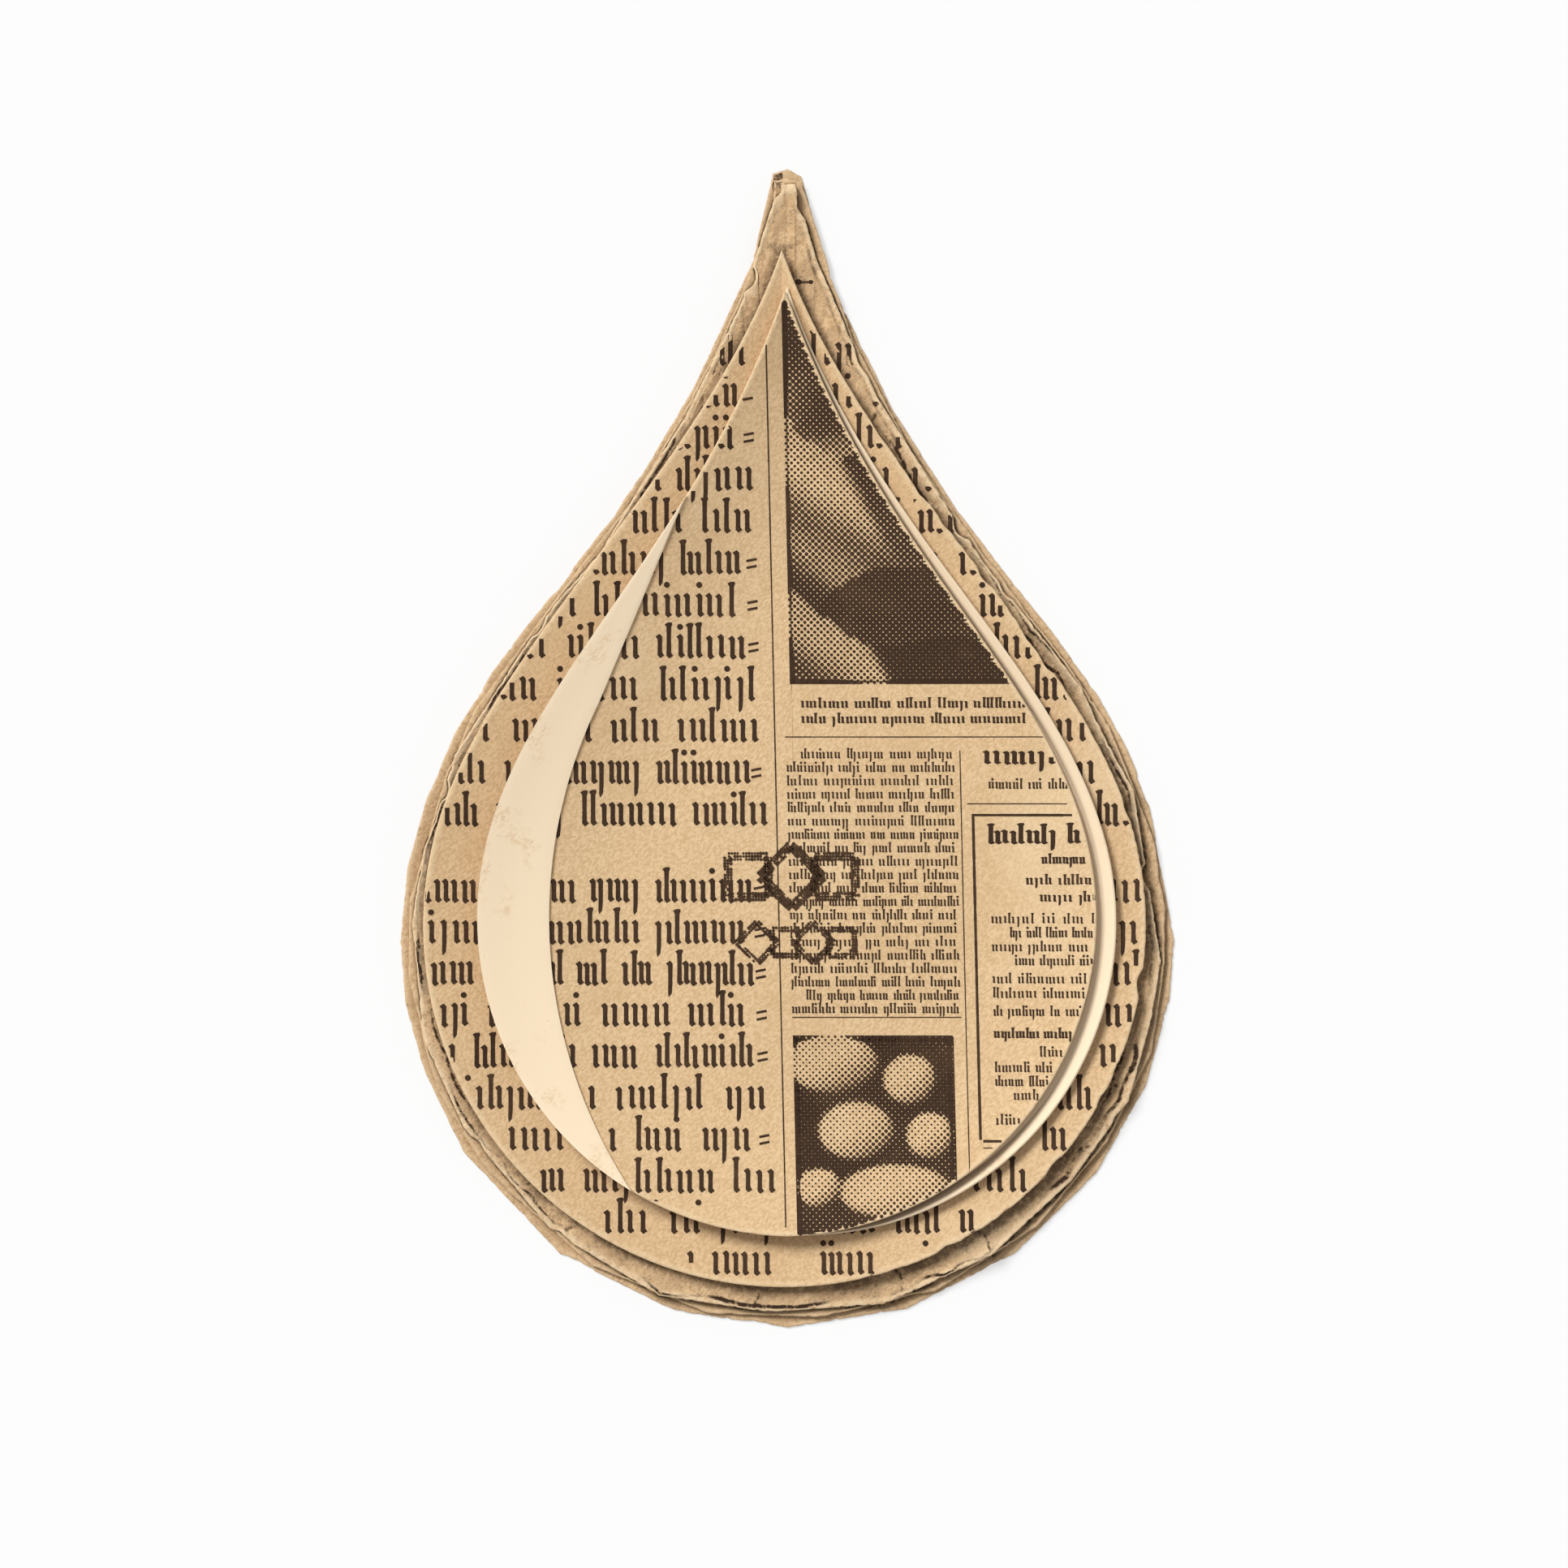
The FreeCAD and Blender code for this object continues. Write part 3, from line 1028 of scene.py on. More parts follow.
@dataclass
class PrintLayout:
    """The marks on one leaf, in page places."""

    rng: random.Random
    page_skew: float = 0.0224
    picture_ink: float = 0.93
    places: list[tuple[float, float, float]] = field(default_factory=list)
    sizes: list[tuple[float, float, float]] = field(default_factory=list)
    kinds: list[int] = field(default_factory=list)
    tilts: list[float] = field(default_factory=list)
    tones: list[float] = field(default_factory=list)

    def on_page(self, x: float, y: float) -> tuple[float, float]:
        """A place on the page, which was laid a little askew."""
        return x - self.page_skew * y, y

    def add(
        self, kind: Mark, x: float, y: float, wide: float, tall: float, **look: float
    ) -> None:
        """Adds one mark.

        Args:
            kind: Its shape.
            x: Its place across the page.
            y: Its place up the page.
            wide: What one stroke width measures.
            tall: What one x-height measures.
            **look: tilt in radians, and tone from 0, faint, to 1, full.
        """
        across, along = self.on_page(x, y)
        self.places.append((across * MM, along * MM, 0.0))
        self.sizes.append((wide * MM, tall * MM, 1.0))
        self.kinds.append(int(kind))
        self.tilts.append(look.get("tilt", 0.0))
        self.tones.append(look.get("tone", self.rng.uniform(0.75, 1.0)))

    def word(self, x: float, y: float, hand: Hand, strokes: int) -> float:
        """Sets upright strokes side by side, in ones, twos and threes.

        Args:
            x: Where the word starts.
            y: Its foot line.
            hand: Its size and style.
            strokes: How many strokes it has.

        Returns:
            Where it ends.
        """
        tone = self.rng.uniform(0.85, 1.0)
        left_in_group = self.rng.randint(1, 3)
        for _ in range(strokes):
            draw = self.rng.random()
            kind = Mark.MINIM
            if draw < hand.tall_share:
                kind = Mark.TALL
            elif draw < hand.tall_share + hand.deep_share:
                kind = Mark.DEEP
            drift = self.rng.uniform(-0.04, 0.04) * hand.height
            self.add(kind, x, y + drift, hand.stroke, hand.height, tone=tone)
            if kind == Mark.MINIM and self.rng.random() < hand.dot_share:
                point = hand.stroke * 1.25
                self.add(Mark.DOT, x, y + hand.height * 1.33, point, point, tone=tone)
            left_in_group -= 1
            spread = 0.9
            if left_in_group == 0:
                left_in_group = self.rng.randint(1, 3)
                spread = 1.15
            x += hand.pitch * spread * self.rng.uniform(0.96, 1.05)
        return x

    def row(self, left: float, right: float, y: float, hand: Hand) -> None:
        """Fills a row with words.

        Args:
            left: Where the row starts.
            right: Where it ends.
            y: The strokes' foot line.
            hand: Its size and style.
        """
        lengths = []
        used = 0.0
        while used < right - left:
            strokes = self.rng.randint(hand.shortest, hand.longest)
            lengths.append(strokes)
            used += strokes * hand.pitch + hand.word_gap
        over = (used - hand.word_gap) / (right - left)
        fitted = replace(hand, pitch=hand.pitch / over, word_gap=hand.word_gap / over)
        x = left
        for strokes in lengths:
            x = self.word(x, y, fitted, strokes) + fitted.word_gap

    def rule(self, x: float, y: float, length: float, weight: float, upright: bool) -> None:
        """Draws a straight rule from short lengths, which follow the paper.

        Args:
            x: Its start across the page.
            y: Its start up the page.
            length: How long it is, downwards or to the right.
            weight: How thick it is.
            upright: Whether it runs down the page.
        """
        piece, overlap, tone = 2.0, 1.02, 0.9
        count = max(1, math.ceil(length / piece))
        step = length / count
        for number in range(count):
            along = step * (number + 0.5)
            weight_here = weight * self.rng.uniform(0.9, 1.1)
            if upright:
                look = {"tilt": self.page_skew, "tone": tone}
                self.add(Mark.BLOCK, x, y - along, weight_here, step * overlap, **look)
            else:
                self.add(Mark.BLOCK, x + along, y, step * overlap, weight_here, tone=tone)

    def worn_bar(self, start: Colour, end: Colour, weight: float) -> None:
        """Stamps a thick bar that is worn to specks.

        Args:
            start: Its start, x and y.
            end: Its end, x and y.
            weight: How thick it is.
        """
        length = math.dist(start, end)
        speck, worn_share = 0.62, 0.13
        columns = max(1, round(length / speck))
        rows = max(1, round(weight / speck))
        along = np.subtract(end, start) / length
        side = np.array([-along[1], along[0]])
        for column in range(columns):
            for row in range(rows):
                if self.rng.random() < worn_share:
                    continue
                down = (column + 0.5) / columns * length
                over = ((row + 0.5) / rows - 0.5) * weight
                x, y = np.array(start) + along * down + side * over
                size = speck * self.rng.uniform(0.8, 1.35)
                tone = self.rng.uniform(0.6, 0.95)
                self.add(Mark.DOT, float(x), float(y), size, size, tone=tone)

    def worn_shape(self, x: float, y: float, reach: float, corners: int, turn: float) -> None:
        """Stamps an even-sided frame.

        Args:
            x: Its middle across the page.
            y: Its middle up the page.
            reach: How far its corners lie from its middle.
            corners: How many it has.
            turn: The direction of its first corner, in degrees.
        """
        ends = []
        for number in range(corners + 1):
            angle = math.radians(turn + 360 * number / corners)
            ends.append((x + reach * math.cos(angle), y + reach * math.sin(angle)))
        for start, end in zip(ends, ends[1:]):
            self.worn_bar(start, end, 0.32 * reach)

    def halftone(
        self,
        left: float,
        right: float,
        low: float,
        high: float,
        tone: Callable[[float, float], float],
    ) -> None:
        """Fills a rectangle with dots, whose size gives the tone.

        Args:
            left: The rectangle's left side.
            right: Its right side.
            low: Its foot.
            high: Its head.
            tone: The darkness, from 0 to 1, at shares of the width and the height.
        """
        pitch, uneven, darkest = 1.44, 0.03, 0.97
        least, more = 0.2, 0.72
        rows = math.floor((high - low) / (pitch / 2))
        columns = math.floor((right - left) / pitch)
        for row in range(rows + 1):
            y = low + row * pitch / 2
            offset = pitch / 2 if row % 2 else 0.0
            for column in range(columns + 1):
                x = left + column * pitch + offset
                if x > right:
                    continue
                dark = tone((x - left) / (right - left), (y - low) / (high - low))
                dark = min(max(dark + self.rng.uniform(-uneven, uneven), 0.0), darkest)
                reach = pitch * (least + more * dark)
                across = min(max(x, left + reach / 2), right - reach / 2)
                up = min(max(y, low + reach / 2), high - reach / 2)
                self.add(Mark.DOT, across, up, reach, reach, tone=self.picture_ink)
        self.straight_sides(left, right, low, high, tone)

    def straight_sides(
        self,
        left: float,
        right: float,
        low: float,
        high: float,
        tone: Callable[[float, float], float],
    ) -> None:
        """Closes the dark parts of a picture's sides with thin straight bars.

        Args:
            left: The picture's left side.
            right: Its right side.
            low: Its foot.
            high: Its head.
            tone: Its darkness at shares of the width and the height.
        """
        step, overlap, weight, dark = 0.72, 1.05, 0.3, 0.5
        for number in range(math.floor((right - left) / step)):
            x = left + step * (number + 0.5)
            for y, up in ((low + weight / 2, 0.0), (high - weight / 2, 1.0)):
                if tone((x - left) / (right - left), up) > dark:
                    self.add(Mark.BLOCK, x, y, step * overlap, weight, tone=self.picture_ink)
        for number in range(math.floor((high - low) / step)):
            y = low + step * (number + 0.5)
            for x, across in ((left + weight / 2, 0.0), (right - weight / 2, 1.0)):
                if tone(across, (y - low) / (high - low)) > dark:
                    self.add(Mark.BLOCK, x, y, weight, step * overlap, tone=self.picture_ink)

    def keep(self, wanted: Callable[[Array, Array], Array]) -> None:
        """Leaves out marks whose places aren't wanted.

        Args:
            wanted: Tells which places, in millimetres, are wanted.
        """
        places = np.array(self.places) / MM
        chosen = np.flatnonzero(wanted(places[:, 0], places[:, 1]))
        for name in ("places", "sizes", "kinds", "tilts", "tones"):
            values = getattr(self, name)
            setattr(self, name, [values[index] for index in chosen])

    def cloud(self, name: str) -> bpy.types.Object:
        """The marks as loose points that carry their look as attributes.

        Args:
            name: The new object's name.

        Returns:
            The object, linked to the scene.
        """
        mesh = bpy.data.meshes.new(name)
        mesh.from_pydata(self.places, [], [])
        mesh.attributes.new("kind", "INT", "POINT").data.foreach_set("value", self.kinds)
        mesh.attributes.new("tilt", "FLOAT", "POINT").data.foreach_set("value", self.tilts)
        mesh.attributes.new("tone", "FLOAT", "POINT").data.foreach_set("value", self.tones)
        flat = [part for size in self.sizes for part in size]
        mesh.attributes.new("size", "FLOAT_VECTOR", "POINT").data.foreach_set("vector", flat)
        points = bpy.data.objects.new(name, mesh)
        bpy.context.scene.collection.objects.link(points)
        return points


class TypeCase:
    """The shapes that the print is set from, one object each, in a collection."""

    def __init__(self) -> None:
        """Builds every shape as a flat ribbon."""
        self.collection = bpy.data.collections.new("type_case")
        bpy.context.scene.collection.children.link(self.collection)
        for mark in Mark:
            rows = RIBBONS[mark]
            points = []
            for height, left, right in rows:
                points.append((left, height, 0.0))
                points.append((right, height, 0.0))
            faces = [(2 * i, 2 * i + 1, 2 * i + 3, 2 * i + 2) for i in range(len(rows) - 1)]
            mesh = bpy.data.meshes.new(f"type_{int(mark)}")
            mesh.from_pydata(points, [], faces)
            shape = bpy.data.objects.new(f"type_{int(mark)}", mesh)
            self.collection.objects.link(shape)

    def empty(self) -> None:
        """Removes the shapes once the print is set."""
        for shape in list(self.collection.objects):
            bpy.data.objects.remove(shape)
        bpy.data.collections.remove(self.collection)


class PrintTree:
    """Geometry nodes that set marks on points and lay them on a leaf."""

    def __init__(self) -> None:
        """Builds the tree."""
        self.tree = bpy.data.node_groups.new("printed_marks", "GeometryNodeTree")
        self.sockets: dict[str, str] = {}
        self.add_input("Geometry", "NodeSocketGeometry")
        self.add_input("Leaf", "NodeSocketObject")
        self.add_input("Type case", "NodeSocketCollection")
        self.add_input("Ink clearance", "NodeSocketFloat")
        self.add_input("Ink depth", "NodeSocketFloat")
        self.add_input("Ink", "NodeSocketMaterial")
        self.tree.interface.new_socket(
            "Geometry", in_out="OUTPUT", socket_type="NodeSocketGeometry"
        )
        self.lay_out()

    def add_input(self, name: str, kind: str) -> None:
        """Adds a named input and keeps its identifier."""
        socket = self.tree.interface.new_socket(name, in_out="INPUT", socket_type=kind)
        self.sockets[name] = socket.identifier

    def node(self, kind: str, settings: dict | None = None, **inputs: object) -> bpy.types.Node:
        """Adds a node.

        Args:
            kind: The node's type.
            settings: Its settings, which are set first.
            **inputs: Values or sockets, by the input's name with _ for spaces.

        Returns:
            The node.
        """
        node = self.tree.nodes.new(kind)
        for name, value in (settings or {}).items():
            setattr(node, name, value)
        for name, value in inputs.items():
            label = name.replace("_", " ")
            socket = next(s for s in node.inputs if s.enabled and s.name == label)
            if isinstance(value, bpy.types.NodeSocket):
                self.tree.links.new(value, socket)
            else:
                socket.default_value = value
        return node

    def attribute(self, name: str, kind: str) -> bpy.types.NodeSocket:
        """The value of a named attribute of the points."""
        node = self.node("GeometryNodeInputNamedAttribute", {"data_type": kind}, Name=name)
        return next(s for s in node.outputs if s.enabled and s.name == "Attribute")

    def lay_out(self) -> None:
        """Adds the nodes: set the marks, lower them to the leaf, give them depth."""
        given = self.node("NodeGroupInput").outputs
        case = self.node(
            "GeometryNodeCollectionInfo",
            Collection=given["Type case"],
            Separate_Children=True,
            Reset_Children=True,
        )
        turn = self.node("ShaderNodeCombineXYZ", Z=self.attribute("tilt", "FLOAT"))
        euler = self.node("FunctionNodeEulerToRotation", Euler=turn.outputs[0])
        placed = self.node(
            "GeometryNodeInstanceOnPoints",
            Points=given["Geometry"],
            Instance=case.outputs[0],
            Pick_Instance=True,
            Instance_Index=self.attribute("kind", "INT"),
            Rotation=euler.outputs[0],
            Scale=self.attribute("size", "FLOAT_VECTOR"),
        )
        loose = self.node("GeometryNodeRealizeInstances", Geometry=placed.outputs[0])
        above = self.node("ShaderNodeVectorMath", {"operation": "ADD"})
        position = self.node("GeometryNodeInputPosition").outputs[0]
        self.tree.links.new(position, above.inputs[0])
        above.inputs[1].default_value = (0.0, 0.0, 50 * MM)
        leaf = self.node("GeometryNodeObjectInfo", Object=given["Leaf"])
        ray = self.node(
            "GeometryNodeRaycast",
            Target_Geometry=leaf.outputs["Geometry"],
            Source_Position=above.outputs[0],
            Ray_Direction=(0.0, 0.0, -1.0),
            Ray_Length=100 * MM,
        )
        missed = self.node("FunctionNodeBooleanMath", {"operation": "NOT"})
        self.tree.links.new(ray.outputs["Is Hit"], missed.inputs[0])
        cut = self.node(
            "GeometryNodeDeleteGeometry",
            {"domain": "POINT"},
            Geometry=loose.outputs[0],
            Selection=missed.outputs[0],
        )
        clearance = self.node("ShaderNodeCombineXYZ", Z=given["Ink clearance"])
        target = self.node("ShaderNodeVectorMath", {"operation": "ADD"})
        self.tree.links.new(ray.outputs["Hit Position"], target.inputs[0])
        self.tree.links.new(clearance.outputs[0], target.inputs[1])
        lowered = self.node(
            "GeometryNodeSetPosition",
            Geometry=cut.outputs[0],
            Position=target.outputs[0],
        )
        upwards = self.node("ShaderNodeCombineXYZ", Z=1.0)
        raised = self.node(
            "GeometryNodeExtrudeMesh",
            Mesh=lowered.outputs[0],
            Offset=upwards.outputs[0],
            Offset_Scale=given["Ink depth"],
            Individual=False,
        )
        under = self.node("GeometryNodeFlipFaces", Mesh=lowered.outputs[0])
        joined = self.node("GeometryNodeJoinGeometry")
        self.tree.links.new(under.outputs[0], joined.inputs[0])
        self.tree.links.new(raised.outputs[0], joined.inputs[0])
        welded = self.node(
            "GeometryNodeMergeByDistance", Geometry=joined.outputs[0], Distance=2e-6
        )
        real = self.node("GeometryNodeRealizeInstances", Geometry=welded.outputs[0])
        inked = self.node(
            "GeometryNodeSetMaterial", Geometry=real.outputs[0], Material=given["Ink"]
        )
        output = self.node("NodeGroupOutput")
        self.tree.links.new(inked.outputs[0], output.inputs[0])


class Press:
    """Prints layouts on leaves."""

    def __init__(self, case: TypeCase, ink: bpy.types.Material) -> None:
        """Sets up the press.

        Args:
            case: The shapes that the print is set from.
            ink: The ink's material.
        """
        self.case = case
        self.ink = ink
        self.tree = PrintTree()

    def print_on(
        self,
        leaf: bpy.types.Object,
        layout: PrintLayout,
        name: str,
        clearance: float = 0.02,
    ) -> bpy.types.Object:
        """Prints a layout on a leaf.

        Args:
            leaf: The leaf's finished piece.
            layout: The marks.
            name: The new piece's name.
            clearance: How far over the paper the ink starts, in millimetres.

        Returns:
            The print, as a piece of its own.
        """
        points = layout.cloud(f"{name}_points")
        modifier = points.modifiers.new("print", "NODES")
        modifier.node_group = self.tree.tree
        sockets = self.tree.sockets
        modifier[sockets["Leaf"]] = leaf
        modifier[sockets["Type case"]] = self.case.collection
        modifier[sockets["Ink clearance"]] = clearance * MM
        modifier[sockets["Ink depth"]] = 0.035 * MM
        modifier[sockets["Ink"]] = self.ink
        bpy.context.view_layer.update()
        graph = bpy.context.evaluated_depsgraph_get()
        mesh = bpy.data.meshes.new_from_object(points.evaluated_get(graph))
        mesh.name = name
        for spare in ("kind", "tilt", "size"):
            layer = mesh.attributes.get(spare)
            if layer is not None:
                mesh.attributes.remove(layer)
        bpy.data.objects.remove(points)
        piece = bpy.data.objects.new(name, mesh)
        bpy.context.scene.collection.objects.link(piece)
        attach(piece, "root")
        triangles = sum(len(face.vertices) - 2 for face in mesh.polygons)
        LOG.info("%s: %d marks, %d triangles", name, len(layout.kinds), triangles)
        return piece


# Page layouts


@dataclass
class NewspaperPage:
    """Where the print lies, in millimetres from the ornament's middle."""

    first_row: float = 84.7
    second_block: float = -34.2
    row_pitch: float = 9.27
    foot_pitch: float = 9.16
    rows_in_first: int = 12
    rows_in_second: int = 10
    column_right: float = -5.6
    column_rule: float = -2.7
    far_left: float = -84.0
    far_right: float = 84.0

    def gothic_rows(self) -> list[float]:
        """The foot lines of the large print."""
        first = [self.first_row - self.row_pitch * i for i in range(self.rows_in_first)]
        second = [self.second_block - self.foot_pitch * i for i in range(self.rows_in_second)]
        return first + second

    def large_print(self, layout: PrintLayout, left: float, right: float) -> None:
        """Sets the rows of large print between two margins.

        Args:
            layout: Takes the marks.
            left: The left margin.
            right: The right margin.
        """
        for y in self.gothic_rows():
            broken = layout.rng.random() < 0.45
            layout.row(left, right - (3.4 if broken else 0.4), y, GOTHIC)
            if broken:
                for high in (1.8, 3.3):
                    layout.add(Mark.BLOCK, right - 1.4, y + high, 2.3, 0.55, tilt=0.2)

    def front(self) -> PrintLayout:
        """The front leaf's print.

        Returns:
            The marks.
        """
        layout = PrintLayout(random.Random(SEED))
        self.large_print(layout, self.far_left + 20, self.column_right)
        layout.rule(self.column_rule, 93.1, 201.0, 0.3, upright=True)
        layout.halftone(0.9, 53.0, 14.2, 101.0, picture_of_dunes)
        layout.halftone(-0.2, 35.4, -107.8, -63.6, picture_of_stones)
        for y in (8.9, 5.5):
            layout.row(3.6, 52.0, y, BOLD)
        layout.rule(-0.4, 2.5, 57.0, 0.24, upright=False)
        self.small_column(layout)
        layout.rule(38.2, -0.5, 93.0, 0.24, upright=True)
        layout.rule(-0.2, -59.6, 37.4, 0.24, upright=False)
        self.boxed_column(layout)
        return layout

    def small_column(self, layout: PrintLayout) -> None:
        """Sets the column of body print in the middle of the page."""
        pitch = 2.97
        rows = 20
        for number in range(rows):
            y = -2.3 - pitch * number
            left = 3.2 if number in (0, 18) else 0.0
            layout.row(left, 36.6, y, BODY)

    def boxed_column(self, layout: PrintLayout) -> None:
        """Sets the heads, rules and lines of the right column."""
        left = 44.6
        right = 76.0
        layout.row(left - 0.5, right, -3.6, HEADING)
        layout.row(left, right, -9.0, AD_LINE)
        layout.rule(39.6, -12.3, 36.0, 0.25, upright=False)
        layout.rule(40.6, -14.8, 36.0, 0.55, upright=False)
        layout.rule(40.8, -14.6, 72.0, 0.6, upright=True)
        layout.row(left, right, -21.2, HEADING)
        for y, start in ((-25.6, 56.0), (-30.2, 52.5), (-34.0, 55.5)):
            layout.row(start, right, y, BOLD)
        for y, start in ((-38.8, 0.0), (-41.9, 4.0), (-45.0, 0.0), (-48.1, 5.0)):
            layout.row(left + start, right, y, AD_LINE)
        for y in (-52.1, -55.3, -59.3):
            layout.row(left, right, y, AD_LINE)
        layout.row(left, right, -64.2, BOLD)
        for y, start in ((-68.3, 10.0), (-71.7, 0.0), (-74.8, 0.0), (-77.8, 4.0), (-83.3, 0.0)):
            layout.row(left + start, right, y, AD_LINE)
        layout.rule(41.4, -86.9, 40.0, 0.6, upright=False)
        layout.rule(41.4, -88.4, 40.0, 0.25, upright=False)
        layout.rule(41.6, -90.2, 40.0, 0.55, upright=False)
        layout.rule(41.6, -90.0, 12.0, 0.55, upright=True)

    def stamp(self) -> PrintLayout:
        """Two rows of plain frames, stamped over the middle of the page.

        Returns:
            The marks.
        """
        layout = PrintLayout(random.Random(SEED + 2))
        for number, turn in enumerate((45.0, 0.0, 45.0)):
            layout.worn_shape(-9.3 + 9.6 * number, -28.4, 6.3 if turn else 6.9, 4, turn)
        for number, turn in enumerate((0.0, 45.0, 0.0, 45.0)):
            layout.worn_shape(-7.6 + 6.2 * number, -43.0, 4.1 if turn else 4.5, 4, turn)
        return layout

    def behind(self) -> PrintLayout:
        """The print of the leaves behind, of which only the margins show.

        Returns:
            The marks.
        """
        layout = PrintLayout(random.Random(SEED + 1))
        self.large_print(layout, self.far_left, self.column_right)
        self.large_print(layout, 5.5, self.far_right)
        for x, size in ((4.8, 1.5), (7.5, 1.1)):
            layout.add(Mark.DOT, x, 103.3, size, size * 0.8, tone=0.95)
        layout.add(Mark.BLOCK, 6.2, 103.3, 2.4, 0.4, tone=0.9)
        return layout


def soft(low: float, high: float, value: float) -> float:
    """0 below low, 1 above high, and an even curve between them."""
    share = min(max((value - low) / (high - low), 0.0), 1.0)
    return share * share * (3 - 2 * share)


def picture_of_dunes(across: float, up: float) -> float:
    """The darkness of wind-blown dunes under a dark sky, each with a lit and a dark side.

    Args:
        across: Share of the picture's width.
        up: Share of its height.

    Returns:
        Darkness from 0 to 1.
    """
    tone = 0.62 + 0.2 * math.sin(9 * up + 4 * across) + 0.1 * math.sin(23 * up - 9 * across)
    crests = (
        (0.7, 0.5, 0.95, 0.2),
        (0.5, -0.42, 0.8, 0.3),
        (0.3, 0.36, 0.9, 0.25),
        (0.12, -0.2, 0.95, 0.4),
    )
    for height, lean, dark, light in crests:
        crest = height + lean * (across - 0.5) + 0.05 * math.sin(7 * across + 20 * height)
        if up < crest:
            depth = crest - up
            split = 0.45 + lean * 0.5 + 0.9 * depth
            side = soft(split - 0.05, split + 0.05, across)
            lit = light + 1.1 * depth + 0.1 * math.sin(31 * up + 11 * across)
            shaded = dark - 0.5 * depth
            if lean > 0:
                tone = lit * side + shaded * (1 - side)
            else:
                tone = shaded * side + lit * (1 - side)
    return tone


def picture_of_stones(across: float, up: float) -> float:
    """The darkness of pale round stones on dark ground.

    Args:
        across: Share of the picture's width.
        up: Share of its height.

    Returns:
        Darkness from 0 to 1.
    """
    tone = 0.95 - 0.12 * math.sin(9 * up + 5 * across)
    stones = (
        (0.24, 0.86, 0.3, 0.15),
        (0.72, 0.78, 0.17, 0.13),
        (0.84, 0.5, 0.15, 0.12),
        (0.38, 0.52, 0.24, 0.15),
        (0.62, 0.22, 0.36, 0.14),
        (0.14, 0.24, 0.14, 0.1),
    )
    for middle_x, middle_y, wide, tall in stones:
        off_x = (across - middle_x) / wide
        off_y = (up - middle_y) / tall
        reach = math.hypot(off_x, off_y)
        if reach < 1.1:
            rounded = 0.12 + 0.5 * max(0.0, 0.6 * off_x - 0.7 * off_y + 0.1) + 0.2 * reach**4
            tone += (rounded - tone) * (1 - soft(0.9, 1.1, reach))
    return tone


# Finishes


class Wire:
    """A value in a shader. Used in an expression, it adds Math nodes."""

    def __init__(self, bench: "Bench", socket: bpy.types.NodeSocket) -> None:
        """Keeps the socket that the value comes from."""
        self.bench = bench
        self.socket = socket

    def math(self, operation: str, *values: object) -> "Wire":
        """One Math node."""
        return self.bench.node("ShaderNodeMath", {"operation": operation}, values)

    def __add__(self, other: object) -> "Wire":
        """Adds."""
        return self.math("ADD", self, other)

    def __radd__(self, other: object) -> "Wire":
        """Adds, from the right."""
        return self.math("ADD", other, self)

    def __sub__(self, other: object) -> "Wire":
        """Subtracts."""
        return self.math("SUBTRACT", self, other)

    def __rsub__(self, other: object) -> "Wire":
        """Subtracts from a number."""
        return self.math("SUBTRACT", other, self)

    def __mul__(self, other: object) -> "Wire":
        """Multiplies."""
        return self.math("MULTIPLY", self, other)

    def __rmul__(self, other: object) -> "Wire":
        """Multiplies, from the right."""
        return self.math("MULTIPLY", other, self)

    def between(self, low: float, high: float) -> "Wire":
        """0 below low, 1 above high, and an even curve between them."""
        settings = {"interpolation_type": "SMOOTHSTEP", "clamp": True}
        return self.bench.node("ShaderNodeMapRange", settings, (self, low, high))


